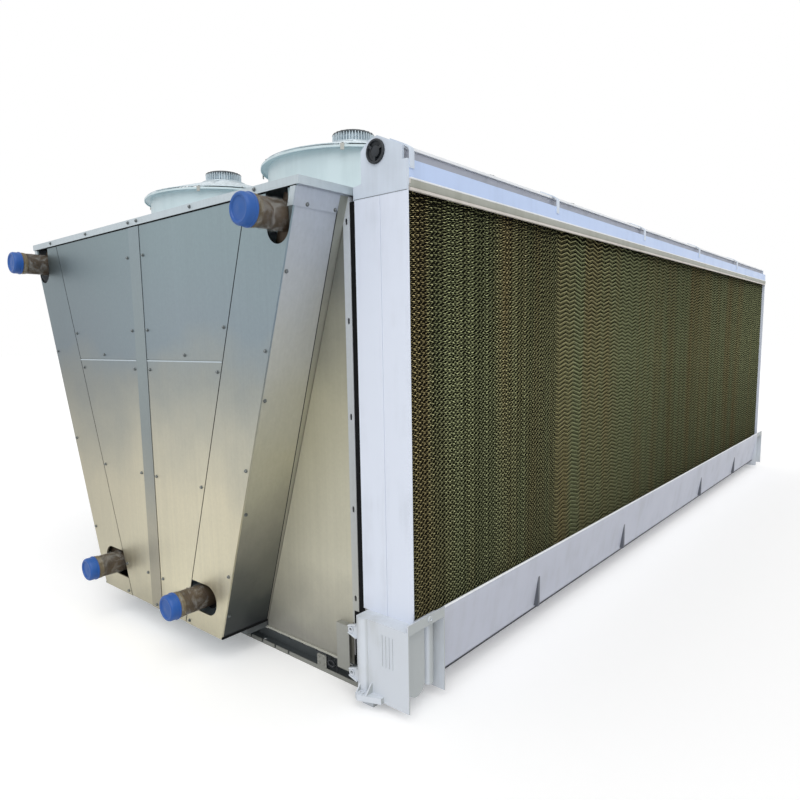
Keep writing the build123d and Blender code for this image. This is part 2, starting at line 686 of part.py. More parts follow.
def pipe_plugs():
    bore = SPRAY_PIPE_OD - 2 * SPRAY_PIPE_WALL
    plug = rod(SPRAY_PIPE_OD, MODULE_START - PLUG_STAND, MODULE_START, SPRAY_PIPE_X, SPRAY_PIPE_Z)
    plug += rod(bore, MODULE_START, MODULE_START + END_CAP_DEPTH, SPRAY_PIPE_X, SPRAY_PIPE_Z)
    dish = rod(bore - 2 * PLUG_RIM, MODULE_START - 2 * PLUG_STAND, MODULE_START, SPRAY_PIPE_X, SPRAY_PIPE_Z)
    return both_ends(plug - dish)


def plenum_flashing():
    """Strip that closes the gap between the deck edge and the hood."""
    y0 = cap_inner()
    low = DECK_TOP - COVER_LIP
    return [block(DECK_EDGE, HOOD_INNER, y0, 2 * MODULE_MIDDLE - y0, low, low + FLASHING)]


# Pad module: sump
def trough_ends():
    """Y of the joints between the trough lengths, from cap to cap."""
    y0 = MODULE_START + SUMP_CAP_BACK
    y1 = MODULE_END - SUMP_CAP_BACK
    return [y0 + (y1 - y0) * n / TROUGH_COUNT for n in range(TROUGH_COUNT + 1)]


def trough_face(z):
    """X of the trough's outer face at height z."""
    return TROUGH_TOE + TROUGH_BATTER * (z - TROUGH_BOTTOM) / (TROUGH_SHOULDER - TROUGH_BOTTOM)


def sump_troughs():
    back = TROUGH_BACK
    floor = TROUGH_BOTTOM + TROUGH_WALL
    ledge = PAD_BOTTOM - TROUGH_WALL
    inner = TROUGH_FACE - TROUGH_WALL
    points = [(TROUGH_FACE, TROUGH_TOP), (TROUGH_FACE, TROUGH_SHOULDER), (TROUGH_TOE, TROUGH_BOTTOM),
              (back, TROUGH_BOTTOM), (back, PAD_BOTTOM), (back + TROUGH_LEDGE, PAD_BOTTOM),
              (back + TROUGH_LEDGE, ledge), (back + TROUGH_WALL, ledge), (back + TROUGH_WALL, floor),
              (TROUGH_TOE - TROUGH_WALL, floor), (inner, TROUGH_SHOULDER), (inner, TROUGH_TOP)]
    ends = trough_ends()
    return [prism(points, y0, y1) for y0, y1 in zip(ends, ends[1:])]


def sump_gussets():
    top = TROUGH_SHOULDER - GUSSET_DROP
    foot = top - GUSSET_HEIGHT
    points = [(trough_face(top), top), (trough_face(foot) + GUSSET_STAND, foot), (trough_face(foot), foot)]
    shares = [n * GUSSET_PITCH + GUSSET_SETBACK for n in range(GUSSET_COUNT)]
    starts = [end + share for end in trough_ends()[:-1] for share in shares]
    return [prism(points, y, y + GUSSET_WIDTH) for y in starts]


def sump_end_cap():
    """Moulded end of the sump: two flanges, a body between them, ears and a foot."""
    y0 = MODULE_START - SUMP_CAP_FRONT
    y1 = MODULE_START + SUMP_CAP_BACK
    face = SUMP_BODY_FACE
    rim = TROUGH_TOP - SUMP_RIM
    cap = block(SUMP_CAP_INNER, TROUGH_FACE, y0, y0 + SUMP_CAP_WALL, SUMP_CAP_BOTTOM, POST_BOTTOM)
    cap += block(TROUGH_BACK, TROUGH_FACE, y1 - SUMP_CAP_WALL, y1, SUMP_CAP_BOTTOM, PAD_BOTTOM)
    cap += block(SUMP_CAP_INNER, face, y0, PAD_START, SUMP_BODY_BOTTOM, POST_BOTTOM)
    cap += block(SUMP_CAP_INNER, face, PAD_START, y1, SUMP_BODY_BOTTOM, PAD_BOTTOM)
    cap += block(face, face + SUMP_CAP_WALL, y0, y1, PAD_BOTTOM - SUMP_CAP_WALL, rim)
    cap += block(face, TROUGH_FACE, y1 - SUMP_CAP_WALL, y1, PAD_BOTTOM, rim)
    cap += block(face, TROUGH_FACE, y0, y1, rim, POST_BOTTOM)
    cap += block(TROUGH_FACE - TROUGH_WALL, TROUGH_FACE, y0, y1, POST_BOTTOM, TROUGH_TOP)
    bead_x = SUMP_CAP_INNER + BEAD_DIAMETER / 2
    cap += disc(BEAD_DIAMETER, SUMP_CAP_BOTTOM, POST_BOTTOM, bead_x, y0 + BEAD_DIAMETER / 4)
    foot_x = SUMP_CAP_INNER + SUMP_FOOT_INSET
    half = SUMP_FOOT_WIDTH / 2
    stem = SUMP_FOOT_STEM / 2
    foot_y = y0 + SUMP_FOOT_WIDTH
    cap += block(foot_x - half, foot_x + half, y0, foot_y, 0, SUMP_FOOT_TAB)
    cap += block(foot_x - stem, foot_x + stem, y0 + SUMP_CAP_WALL, foot_y, 0, SUMP_BODY_BOTTOM)
    lobe_y = y0 + LOBE_SETBACK
    swell = LOBE_DIAMETER / 2
    cap += Pos(face, lobe_y, LOBE_HEIGHT) * Rot(0, 90, 0) * Cylinder(swell, 2 * LOBE_STAND)
    cap += block(face, face + LOBE_STAND, lobe_y - swell, lobe_y + swell, LOBE_HEIGHT, rim)
    flute = disc(FLUTE_DIAMETER, SUMP_BODY_BOTTOM, rim, face, y0 + FLUTE_SETBACK)
    cap += flute & block(face, TROUGH_FACE, y0, y1, SUMP_BODY_BOTTOM, rim)
    tip = SUMP_CAP_INNER - EAR_LENGTH
    for z in (EAR_LOWER, EAR_UPPER):
        wide = EAR_HEIGHT / 2
        narrow = EAR_HEIGHT / 4
        ear = prism([(SUMP_CAP_INNER, z - wide), (tip, z - narrow), (tip, z + narrow),
                     (SUMP_CAP_INNER, z + wide)], y0, y0 + SUMP_CAP_WALL)
        cap += ear - rod(EAR_HOLE, y0 - SUMP_CAP_WALL, y0 + 2 * SUMP_CAP_WALL, tip + EAR_LENGTH / 3, z)
    return cap


def nodes():
    """Every node's name with its solids."""
    right_coil = coil()
    pieces = {
        "base_cross_beams": base_cross_beams(),
        "base_sills": base_sills(),
        "bottom_tray": bottom_tray(),
        "left_coil": [mirror(right_coil, about=Plane.YZ)],
        "right_coil": [right_coil],
        "side_covers": side_covers(),
        "front_end_wall": front_end_wall(),
        "front_side_strips": front_side_strips(),
        "front_upper_panels": front_upper_panels(),
        "front_access_panels": front_access_panels(),
        "front_center_post": front_center_post(),
        "end_top_covers": end_top_covers(),
        "rear_end_panel": rear_end_panel(),
        "fan_decks": fan_decks(),
        "fan_shrouds": at_fans(fan_shroud()),
        "fan_guards": at_fans(fan_guard()),
        "fan_motors": at_fans(fan_motor()),
        "header_pipes": header_pipes(),
        "pipe_caps": pipe_caps(),
        "infill_panels": infill_panels(),
        "slotted_channels": slotted_channels(),
        "corner_box_cover": corner_box_cover(),
        "pad_posts": pad_posts(),
        "evaporative_pads": evaporative_pads(),
        "pad_top_holder": pad_top_holder(),
        "distribution_hood": distribution_hood(),
        "fascia": fascia(),
        "fascia_clips": fascia_clips(),
        "top_end_caps": top_end_caps(),
        "distribution_pipe": distribution_pipe(),
        "pipe_plugs": pipe_plugs(),
        "plenum_flashing": plenum_flashing(),
        "sump_troughs": sump_troughs(),
        "sump_gussets": sump_gussets(),
        "sump_end_caps": both_ends(sump_end_cap()),
    }
    for number, rotor in enumerate(at_fans(fan_rotor()), start=1):
        pieces[f"fan_rotor_{number}"] = [rotor]
    return pieces


def main():
    os.makedirs("parts", exist_ok=True)
    home = Pos(0, -MODULE_MIDDLE, 0)
    for name, shapes in nodes().items():
        solids = [home * solid for shape in shapes for solid in shape.solids()]
        export_step(Compound(solids), f"parts/{name}.step")


main()
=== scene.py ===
# %% [markdown]
# # A dry cooler with a wetted pad wall
# Two finned coils lean apart in a V under a deck of ten fans, and a wall of wetted paper pads
# stands along one side. The CAD frame already holds every plate, pipe and moulding at its true
# size. This lesson dresses that frame: it gives each surface the look of what it is made of,
# and models the pieces that are too fine for CAD, such as wire guards, screws, twisted blades
# and the folds of the pad paper.

# %% Load the frame
import json
import math
import bpy
import bmesh
import numpy as np
from mathutils import Matrix, Vector, noise


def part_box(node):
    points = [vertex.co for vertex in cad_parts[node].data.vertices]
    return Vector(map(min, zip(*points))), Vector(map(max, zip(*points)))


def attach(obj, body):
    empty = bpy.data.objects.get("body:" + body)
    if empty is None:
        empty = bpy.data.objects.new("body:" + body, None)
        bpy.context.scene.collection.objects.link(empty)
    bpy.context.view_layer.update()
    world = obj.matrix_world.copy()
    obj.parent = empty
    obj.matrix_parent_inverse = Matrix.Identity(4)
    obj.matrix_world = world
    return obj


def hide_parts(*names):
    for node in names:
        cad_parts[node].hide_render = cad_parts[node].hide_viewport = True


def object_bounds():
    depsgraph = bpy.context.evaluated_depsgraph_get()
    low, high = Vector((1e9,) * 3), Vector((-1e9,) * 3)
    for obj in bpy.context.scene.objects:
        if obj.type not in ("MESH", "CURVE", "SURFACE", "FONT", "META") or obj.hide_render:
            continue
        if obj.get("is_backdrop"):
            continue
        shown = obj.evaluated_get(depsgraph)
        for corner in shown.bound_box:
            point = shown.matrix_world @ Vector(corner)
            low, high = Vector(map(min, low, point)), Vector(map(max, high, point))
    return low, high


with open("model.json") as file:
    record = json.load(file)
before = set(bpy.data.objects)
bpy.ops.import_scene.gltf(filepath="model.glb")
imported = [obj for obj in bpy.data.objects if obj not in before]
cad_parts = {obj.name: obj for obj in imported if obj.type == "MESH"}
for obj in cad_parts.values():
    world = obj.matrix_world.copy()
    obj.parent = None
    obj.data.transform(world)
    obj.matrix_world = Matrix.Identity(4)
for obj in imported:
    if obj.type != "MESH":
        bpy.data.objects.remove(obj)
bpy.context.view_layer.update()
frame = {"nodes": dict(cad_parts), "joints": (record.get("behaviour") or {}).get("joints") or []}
scene = bpy.context.scene

# %% [markdown]
# ## Camera
# The picture was taken from about 1.5 m above the ground, at the header end and to the right.
# The camera could be placed by eye, but a fit of known corners gives it exactly: where it
# stands, which way it looks, and how long its lens is. The small shift moves the frame
# sideways without turning the camera, as a cropped photograph does.

# %% Camera at the photograph's viewing angle
CAMERA_PLACE = Vector((3.0008, -4.9189, 1.4855))
CAMERA_TURN, CAMERA_DOWN, CAMERA_ROLL = math.radians(40.07), math.radians(7.05), math.radians(-0.85)

lens = bpy.data.cameras.new("photo_lens")
lens.lens = 28.556
lens.shift_x, lens.shift_y = -0.0044, 0.0232
camera = bpy.data.objects.new("photo_camera", lens)
scene.collection.objects.link(camera)
backward = Vector((math.sin(CAMERA_TURN) * math.cos(CAMERA_DOWN),
                   -math.cos(CAMERA_TURN) * math.cos(CAMERA_DOWN), math.sin(CAMERA_DOWN)))
right = (-backward).cross(Vector((0, 0, 1))).normalized()
up = backward.cross(right)
level = Matrix((right, up, backward)).transposed().to_4x4()
camera.matrix_world = Matrix.Translation(CAMERA_PLACE) @ level @ Matrix.Rotation(CAMERA_ROLL, 4, "Z")
scene.camera = camera
print("camera", [round(v, 3) for v in camera.location], "lens", lens.lens, "mm")

# %% [markdown]
# ## Two small tools for nodes
# Colours are picked as sRGB codes, the numbers a screen shows, while shaders work in linear
# light, so one function converts them. A second function adds any node, sets its properties
# and fills its inputs: a number is set, and a node or a socket is linked.

# %% Colour and node tools
def linear(code):
    """An sRGB hex colour as the linear RGBA that shader sockets expect."""
    parts = [int(code[i:i + 2], 16) / 255 for i in (1, 3, 5)]
    return [p / 12.92 if p <= 0.04045 else ((p + 0.055) / 1.055) ** 2.4 for p in parts] + [1.0]


def feed(tree, node, feeds):
    """Fills a node's inputs: a value is set, a socket or a node's first output is linked."""
    for socket, value in feeds.items():
        if isinstance(value, bpy.types.Node):
            value = next(out for out in value.outputs if out.enabled)
        if isinstance(value, bpy.types.NodeSocket):
            tree.links.new(value, node.inputs[socket])
        else:
            node.inputs[socket].default_value = value
    return node


def add(tree, kind, feeds, **settings):
    """Adds one shader node with its settings and its inputs."""
    node = tree.nodes.new("ShaderNode" + kind)
    for name, value in settings.items():
        setattr(node, name, value)
    return feed(tree, node, feeds)


def new_finish(name):
    """A new material, its node tree and its main shader."""
    finish = bpy.data.materials.new(name)
    finish.use_nodes = True
    return finish, finish.node_tree, finish.node_tree.nodes["Principled BSDF"]


print("white as linear light", linear("#FFFFFF"))

# %% [markdown]
# ## Light
# An overcast yard lights the real machine from all sides. A plain sky does the same here, and
# one broad, soft lamp from the front right gives the faces a direction. The sky that the
# camera, the metal and the clear film see is pure white, as behind a cut-out picture.

# %% Sky and lamp
SKY_LIGHT, LAMP_LIGHT = 0.62, 1.5

sky = bpy.data.worlds.new("soft_sky")
scene.world = sky
sky.use_nodes = True
sky.node_tree.nodes.clear()
rays = add(sky.node_tree, "LightPath", {})
seen = add(sky.node_tree, "Math", {0: rays.outputs["Is Camera Ray"], 1: rays.outputs["Is Glossy Ray"]})
seen = add(sky.node_tree, "Math", {0: seen, 1: rays.outputs["Is Transmission Ray"]}, use_clamp=True)
dome = add(sky.node_tree, "Background", {"Color": linear("#FFFFFF"), "Strength": SKY_LIGHT})
backdrop = add(sky.node_tree, "Background", {"Color": linear("#FFFFFF"), "Strength": 1.0})
both = add(sky.node_tree, "MixShader", {0: seen, 1: dome, 2: backdrop})
add(sky.node_tree, "OutputWorld", {"Surface": both})

lamp = bpy.data.lights.new("broad_lamp", "SUN")
lamp.energy = LAMP_LIGHT
lamp.angle = math.radians(60)
lamp_place = bpy.data.objects.new("broad_lamp", lamp)
lamp_place.rotation_euler = Vector((0.45, -0.50, 0.74)).to_track_quat("Z", "Y").to_euler()
scene.collection.objects.link(lamp_place)
print("sky", SKY_LIGHT, "lamp", LAMP_LIGHT)

# %% [markdown]
# ## Floor
# The floor is a pale screed. It takes the shadow of the machine like any floor. For the
# camera alone a little glow is added, so that the bare floor reaches the white of the sky and
# no horizon shows, while the shadow stays.

# %% Pale floor
FLOOR_REACH, FLOOR_GLOW = 90.0, 0.20

floor_mesh = bpy.data.meshes.new("floor")
floor_mesh.from_pydata([(x, y, 0) for x, y in ((-FLOOR_REACH, -FLOOR_REACH), (FLOOR_REACH, -FLOOR_REACH),
                                               (FLOOR_REACH, FLOOR_REACH), (-FLOOR_REACH, FLOOR_REACH))],
                       [], [(0, 1, 2, 3)])
floor = bpy.data.objects.new("floor", floor_mesh)
scene.collection.objects.link(floor)
pale_screed, tree, shader = new_finish("pale_screed")
rays = add(tree, "LightPath", {})
glow = add(tree, "Math", {0: rays.outputs["Is Camera Ray"], 1: FLOOR_GLOW}, operation="MULTIPLY")
grain = add(tree, "TexNoise", {"Scale": 6.0, "Detail": 3.0})
shade = add(tree, "MapRange", {0: grain, 3: 0.88, 4: 0.92})
feed(tree, shader, {"Base Color": shade, "Roughness": 0.9, "Specular IOR Level": 0.0,
                    "Emission Color": linear("#FFFFFF"), "Emission Strength": glow})
floor_mesh.materials.append(pale_screed)
floor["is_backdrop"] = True
print("floor", 2 * FLOOR_REACH, "m square")

# %% [markdown]
# ## Galvanised sheet
# Most of the cabinet is hot-dip galvanised steel. Molten zinc freezes on it in flakes called
# spangle, about a centimetre across, each a slightly different grey. The rolls leave fine
# upright brush lines. A picture could be wrapped on it, but a few noise patterns in real
# millimetres stay sharp at any distance. The height bands give each sheet its greys and buffs
# from the foot up: the end sheets turn lighter and warmer towards the foot, and the side sheets
# carry a painted shade at the foot and a painted reflection above the middle. The end and top
# sheets also carry painted light across their width, darker at the left and lighter at the right.
# Sheets that have dulled in the weather are less mirror-like, so their metallic share is lower.

# %% Zinc finishes
SPANGLE = 0.012
FULL_HEIGHT = 2.2


def galvanised(name, bands, rough=0.42, metallic=1.0, across=(1.0, 1.0)):
    """Zinc sheet: bands of (height in metres, colour), and painted light across the end: its tones at the
    left and right.
    """
    finish, tree, shader = new_finish(name)
    where = add(tree, "TexCoord", {}).outputs["Object"]
    place = add(tree, "SeparateXYZ", {0: where})
    clouds = add(tree, "TexNoise", {"Vector": where, "Scale": 2.6, "Detail": 4.0})
    drift = add(tree, "MapRange", {0: clouds, 1: 0.3, 2: 0.7, 3: -0.09, 4: 0.09})
    height = add(tree, "Math", {0: place.outputs["Z"], 1: drift})
    share = add(tree, "MapRange", {0: height, 1: 0.0, 2: FULL_HEIGHT})
    tone = add(tree, "ValToRGB", {0: share})
    steps = tone.color_ramp.elements
    steps[0].position, steps[0].color = bands[0][0] / FULL_HEIGHT, linear(bands[0][1])
    steps[1].position, steps[1].color = bands[-1][0] / FULL_HEIGHT, linear(bands[-1][1])
    for level, colour in bands[1:-1]:
        steps.new(level / FULL_HEIGHT).color = linear(colour)
    flakes = add(tree, "TexVoronoi", {"Vector": where, "Scale": 1 / SPANGLE})
    flake = add(tree, "MapRange", {0: flakes.outputs["Color"], 3: 0.975, 4: 1.02})
    runs = add(tree, "Mapping", {0: where, "Scale": (75.0, 75.0, 0.7)})
    streaks = add(tree, "TexNoise", {"Vector": runs, "Scale": 1.0, "Detail": 3.0})
    streak = add(tree, "MapRange", {0: streaks, 1: 0.3, 2: 0.7, 3: 0.96, 4: 1.03})
    wear = add(tree, "Math", {0: flake, 1: streak}, operation="MULTIPLY")
    # Painted light across the width: darker at the left, lighter at the right, set by across.
    sheet = add(tree, "MapRange", {0: place.outputs["X"], 1: -0.9, 2: 0.35, 3: across[0], 4: across[1]})
    wear = add(tree, "Math", {0: wear, 1: sheet}, operation="MULTIPLY")
    colour = add(tree, "Mix", {0: 1.0, 6: tone, 7: wear}, data_type="RGBA", blend_type="MULTIPLY")
    gloss = add(tree, "MapRange", {0: streaks, 3: rough - 0.08, 4: rough + 0.10})
    dents = add(tree, "TexNoise", {"Vector": where, "Scale": 5.0, "Detail": 1.0})
    relief = add(tree, "Bump", {"Strength": 0.08, "Distance": 0.004, "Height": dents})
    feed(tree, shader, {"Base Color": colour, "Metallic": metallic, "Roughness": gloss, "Normal": relief})
    return finish


end_sheet = galvanised("galvanised_end_sheet", [
    (0.12, "#B9B4A0"), (0.30, "#D6D0B8"), (0.75, "#CCC6B0"), (1.05, "#B0AFA2"), (1.30, "#979B97"),
    (1.50, "#87939A"), (2.05, "#86969B")], 0.42, 1.0, (0.82, 1.14))
post_sheet = galvanised("galvanised_post_sheet", [
    (0.12, "#A8A393"), (0.45, "#B2AE9E"), (0.95, "#919999"), (2.05, "#8E9CA2")])
# Side sheets: the nearly black foot is painted shade and the bright middle is a painted reflection.
side_sheet_shade_sheen = galvanised("galvanised_side_sheet_shade_sheen", [
    (0.12, "#2B2F31"), (0.30, "#454946"), (0.62, "#838276"), (1.00, "#B3B09A"), (1.45, "#B8B9B2"),
    (2.05, "#ACB4C0")], 0.45, 0.35)
infill_sheet = galvanised("galvanised_infill_sheet", [
    (0.12, "#908F87"), (0.50, "#C7C4B1"), (1.20, "#B4B19C"), (1.75, "#797B75"),
    (2.05, "#6F736F")], 0.45, 0.35)
lap_sheet = galvanised("galvanised_lap_sheet", [
    (0.12, "#8F8E86"), (1.20, "#A5A390"), (1.75, "#93958F"), (2.05, "#92968F")], 0.45, 0.35)
top_sheet = galvanised("galvanised_top_sheet", [(0.0, "#B0BDC5"), (2.2, "#BDC8CE")], 0.40, 0.45, (0.98, 1.03))
# The lightest band at the top is painted light where the rail shades the channel.
channel_steel_lit_top = galvanised("galvanised_channel_lit_top", [
    (0.10, "#B1B1A7"), (1.0, "#B6BBBF"), (2.1, "#D2D9E1")], 0.45, 0.35)
box_steel = galvanised("galvanised_box", [(0.05, "#93948E"), (0.3, "#A5A6A1")], 0.45, 0.5)
base_steel = galvanised("galvanised_base_section", [
    (0.0, "#72787A"), (0.09, "#5E6264"), (0.14, "#808380")], 0.5, 0.6)
print("zinc finishes", [m.name for m in bpy.data.materials if m.name.startswith("galvanised")])

# %% [markdown]
# ## Aluminium fins
# A coil is a block of thin aluminium fins pressed on copper tubes. Bright mill-finish strip
# gives a silvery face made of fine upright lines. The real fins stand 2.1 mm apart, too fine
# to show from a few metres, so the lines are drawn about four times as coarse.

# %% Fin finish
FIN_SPACING = 0.008

fin_stock, tree, shader = new_finish("aluminium_fin_strip")
where = add(tree, "TexCoord", {}).outputs["Object"]
lines = add(tree, "TexWave", {"Vector": where, "Scale": 2 * math.pi / 20 / FIN_SPACING}, bands_direction="Y")
dust = add(tree, "TexNoise", {"Vector": where, "Scale": 3.0, "Detail": 5.0})
gap = add(tree, "MapRange", {0: lines, 1: 0.15, 2: 0.6, 3: 0.45, 4: 1.0})
dulled = add(tree, "MapRange", {0: dust, 1: 0.3, 2: 0.7, 3: 0.75, 4: 1.0})
depth = add(tree, "Math", {0: gap, 1: dulled}, operation="MULTIPLY")
silver = add(tree, "Mix", {0: 1.0, 6: linear("#B4B9BA"), 7: depth}, data_type="RGBA", blend_type="MULTIPLY")
relief = add(tree, "Bump", {"Strength": 0.5, "Distance": 0.002, "Height": lines})
feed(tree, shader, {"Base Color": silver, "Metallic": 1.0, "Roughness": 0.4, "Normal": relief})
print("fin lines every", FIN_SPACING * 1000, "mm")

# %% [markdown]
# ## Painted and moulded finishes
# The fan rings are sheet steel under baked powder paint: smooth, with a slight orange peel.
# The pad wall is extruded and moulded PVC. Both are a plain body colour, a little cloudy, with
# dust in soft runs. One recipe serves them all; only colour, gloss and grime change. The fascia's
# blue-white is partly a painted blue cast of skylight, and the sump caps take a painted shade on
# faces that point along +x.

# %% Paint and plastic finishes
def coated(name, colour, grime, rough=0.38, amount=0.35, ior=1.5, peel=260.0, side_shade=None):
    """Paint or plastic of one colour, clouded by grime; the last argument tints faces that point along +x, a
    painted shade.
    """
    finish, tree, shader = new_finish(name)
    where = add(tree, "TexCoord", {}).outputs["Object"]
    runs = add(tree, "Mapping", {0: where, "Scale": (16.0, 16.0, 1.6)})
    streaks = add(tree, "TexNoise", {"Vector": runs, "Scale": 1.0, "Detail": 4.0, "Roughness": 0.6})
    clouds = add(tree, "TexNoise", {"Vector": where, "Scale": 5.0, "Detail": 3.0})
    settled = add(tree, "Math", {0: streaks, 1: clouds}, operation="MULTIPLY")
    dirty = add(tree, "MapRange", {0: settled, 1: 0.20, 2: 0.42, 3: 0.0, 4: amount},
                interpolation_type="SMOOTHSTEP")
    tone = add(tree, "Mix", {0: dirty, 6: linear(colour), 7: linear(grime)}, data_type="RGBA")
    if side_shade:
        # Painted shade on faces that point along +x.
        turned_to = add(tree, "SeparateXYZ", {0: add(tree, "NewGeometry", {}).outputs["Normal"]})
        side_shade_share = add(tree, "MapRange", {0: turned_to.outputs["X"], 1: 0.6, 2: 0.95, 4: 0.85})
        tone = add(tree, "Mix", {0: side_shade_share, 6: tone, 7: linear(side_shade)}, data_type="RGBA")
    gloss = add(tree, "MapRange", {0: clouds, 1: 0.3, 2: 0.7, 3: rough - 0.06, 4: rough + 0.10})
    skin = add(tree, "TexNoise", {"Vector": where, "Scale": peel, "Detail": 1.0})
    relief = add(tree, "Bump", {"Strength": 0.08, "Distance": 0.001, "Height": skin})
    feed(tree, shader, {"Base Color": tone, "Roughness": gloss, "IOR": ior, "Normal": relief})
    return finish


PVC_IOR = 1.53
powder_coat = coated("powder_coat_ring", "#CFDFE3", "#B2C4C9", 0.36, 0.30)
post_pvc = coated("extruded_pvc_post", "#DDE4F2", "#B9BFC9", 0.36, 0.25, PVC_IOR)
cap_pvc = coated("moulded_pvc_cap", "#CDD7E4", "#A9B1BA", 0.40, 0.30, PVC_IOR)
hood_pvc = coated("extruded_pvc_hood", "#E9ECEF", "#C3C8CC", 0.34, 0.25, PVC_IOR)
# The fascia's blue-white is partly its own colour and partly a painted blue cast of skylight.
sky_tinted_fascia_pvc = coated("extruded_pvc_fascia_sky_tint", "#BBCEF0", "#A2B3D0", 0.34, 0.25, PVC_IOR)
lip_pvc = coated("extruded_cream_pvc_lip", "#CFC9C3", "#A9A296", 0.42, 0.30, PVC_IOR)
# Olive grey for the strip above the lip bead: painted shade under the fascia.
lip_painted_shade_pvc = coated("pvc_lip_painted_shade", "#A3A59C", "#87887B", 0.45, 0.35, PVC_IOR)
# The sump caps are painted a shade darker on faces that point along +x.
sump_cap_pvc = coated("moulded_pvc_sump_cap", "#CED4DC", "#A9AAA4", 0.42, 0.35, PVC_IOR, side_shade="#A4A9A8")
trough_pvc = coated("extruded_pvc_trough", "#B9BDCA", "#9B9D9E", 0.42, 0.22, PVC_IOR)
gusset_pvc = coated("moulded_grey_pvc", "#5C6068", "#45484B", 0.45, 0.4, PVC_IOR)
# Grey for the painted shade under the eave.
eave_shade_grey = coated("painted_eave_shade", "#B4B8C3", "#9297A2", 0.7, 0.4, 1.5)
pipe_pvc = coated("grey_pvc_pipe", "#8D939A", "#62666A", 0.4, 0.4, PVC_IOR)
plug_rubber = coated("black_rubber", "#12171D", "#2A3038", 0.5, 0.4, 1.52)
# Black for painted shade: the shadow strips in the joints, the holes and the corners; also one dark joint.
black_joint_and_shade = coated("black_joint_and_painted_shade", "#08090B", "#121417", 0.9, 0.3, 1.3)
blue_polythene = coated("moulded_blue_polythene", "#104F9C", "#2E5C96", 0.40, 0.35, 1.51)
blade_nylon = coated("glass_filled_nylon_blade", "#3A4044", "#6B6F70", 0.48, 0.5, 1.53)
print("paint and plastic finishes made")

# %% [markdown]
# ## Motor, wire and fasteners
# The motors are ribbed aluminium castings under silver paint. The guards are bright
# galvanised wire and strip, and the screws are zinc-plated steel with hexagon heads.

# %% Cast, drawn and plated metal
def bare_metal(name, colour, stain, rough, metallic=1.0, scale=60.0):
    """Metal with small stains in the size of casting pits or handling marks."""
    finish, tree, shader = new_finish(name)
    where = add(tree, "TexCoord", {}).outputs["Object"]
    marks = add(tree, "TexNoise", {"Vector": where, "Scale": scale, "Detail": 4.0})
    stained = add(tree, "MapRange", {0: marks, 1: 0.45, 2: 0.75, 3: 0.0, 4: 0.7})
    tone = add(tree, "Mix", {0: stained, 6: linear(colour), 7: linear(stain)}, data_type="RGBA")
    gloss = add(tree, "MapRange", {0: marks, 3: rough - 0.1, 4: rough + 0.15})
    relief = add(tree, "Bump", {"Strength": 0.12, "Distance": 0.001, "Height": marks})
    feed(tree, shader, {"Base Color": tone, "Metallic": metallic, "Roughness": gloss, "Normal": relief})
    return finish


cast_motor = bare_metal("silver_painted_casting", "#C9D6DD", "#A2B0B8", 0.42, 0.3)
bright_wire = bare_metal("galvanised_wire", "#D2DCE1", "#A5B0B6", 0.38, 0.6)
plated_screw = bare_metal("zinc_plated_screw", "#7B8081", "#565959", 0.35, 1.0, 220.0)
print("bare metals made")

# %% [markdown]
# ## Header pipes, film and tape
# The stubs are steel pipe in red-brown primer, wrapped for transport in clear stretch film
# that shines in crumpled strips. A brown paper tape holds the film under each blue cap.

# %% Primer, film and tape
primed_pipe = bare_metal("primed_steel_pipe", "#4A3D2D", "#1E1610", 0.55, 0.2, 14.0)
crepe_tape = coated("crepe_paper_tape", "#6A5F49", "#4A3F30", 0.7, 0.6, 1.45, 400.0)

stretch_film, tree, shader = new_finish("clear_stretch_film")
where = add(tree, "TexCoord", {}).outputs["Object"]
crumple = add(tree, "TexNoise", {"Vector": where, "Scale": 22.0, "Detail": 5.0, "Distortion": 1.5})
veil = add(tree, "MapRange", {0: crumple, 1: 0.46, 2: 0.66, 3: 0.02, 4: 0.22})
relief = add(tree, "Bump", {"Strength": 0.6, "Distance": 0.004, "Height": crumple})
feed(tree, shader, {"Base Color": linear("#D5D8D6"), "Roughness": 0.18, "IOR": 1.5, "Alpha": veil,
                    "Normal": relief})
print("pipe finishes made")

# %% [markdown]
# ## Pad paper
# The pads are kraft paper stiffened with resin, corrugated and glued in a block. Light and
# shade are painted into the paper: where a fold near the front faces up it takes the pale olive
# tan of the paper as painted light, and the undersides and the depth of the cells are painted
# nearly black as painted shade. So the colour follows how far a point lies behind the front face
# and how far its surface faces up. Broad brown and green bands, from one paper batch to the
# next, run up the wall. The foot and the far end are darker.

# %% Paper finish
pad_low, pad_high = (Vector(corner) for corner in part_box("evaporative_pads"))
PAD_FACE = pad_high.x

pad_paper, tree, shader = new_finish("resin_kraft_paper")
geometry = add(tree, "NewGeometry", {})
where = geometry.outputs["Position"]
place = add(tree, "SeparateXYZ", {0: where})
facing_up = add(tree, "SeparateXYZ", {0: geometry.outputs["Normal"]})
# Painted light and shade: up-facing folds near the front take the tan; undersides and cell depths take a
# near-black painted shade.
upper = add(tree, "MapRange", {0: facing_up.outputs["Z"], 1: -0.10, 2: 0.35}, interpolation_type="SMOOTHSTEP")
edge = add(tree, "MapRange", {0: place.outputs["X"], 1: PAD_FACE - 0.013, 2: PAD_FACE - 0.005},
           interpolation_type="SMOOTHSTEP")
lit_front = add(tree, "Math", {0: upper, 1: edge}, operation="MULTIPLY")
batches = add(tree, "Mapping", {0: where, "Scale": (0.0, 4.2, 0.25)})
batch = add(tree, "TexNoise", {"Vector": batches, "Scale": 1.0, "Detail": 3.0})
green = add(tree, "MapRange", {0: batch, 1: 0.34, 2: 0.56})
cell_shade = add(tree, "Mix", {0: green, 6: linear("#140F08"), 7: linear("#101208")}, data_type="RGBA")
tan = add(tree, "Mix", {0: green, 6: linear("#DFCF96"), 7: linear("#D8DFA8")}, data_type="RGBA")
fibres = add(tree, "TexNoise", {"Vector": where, "Scale": 60.0, "Detail": 2.0})
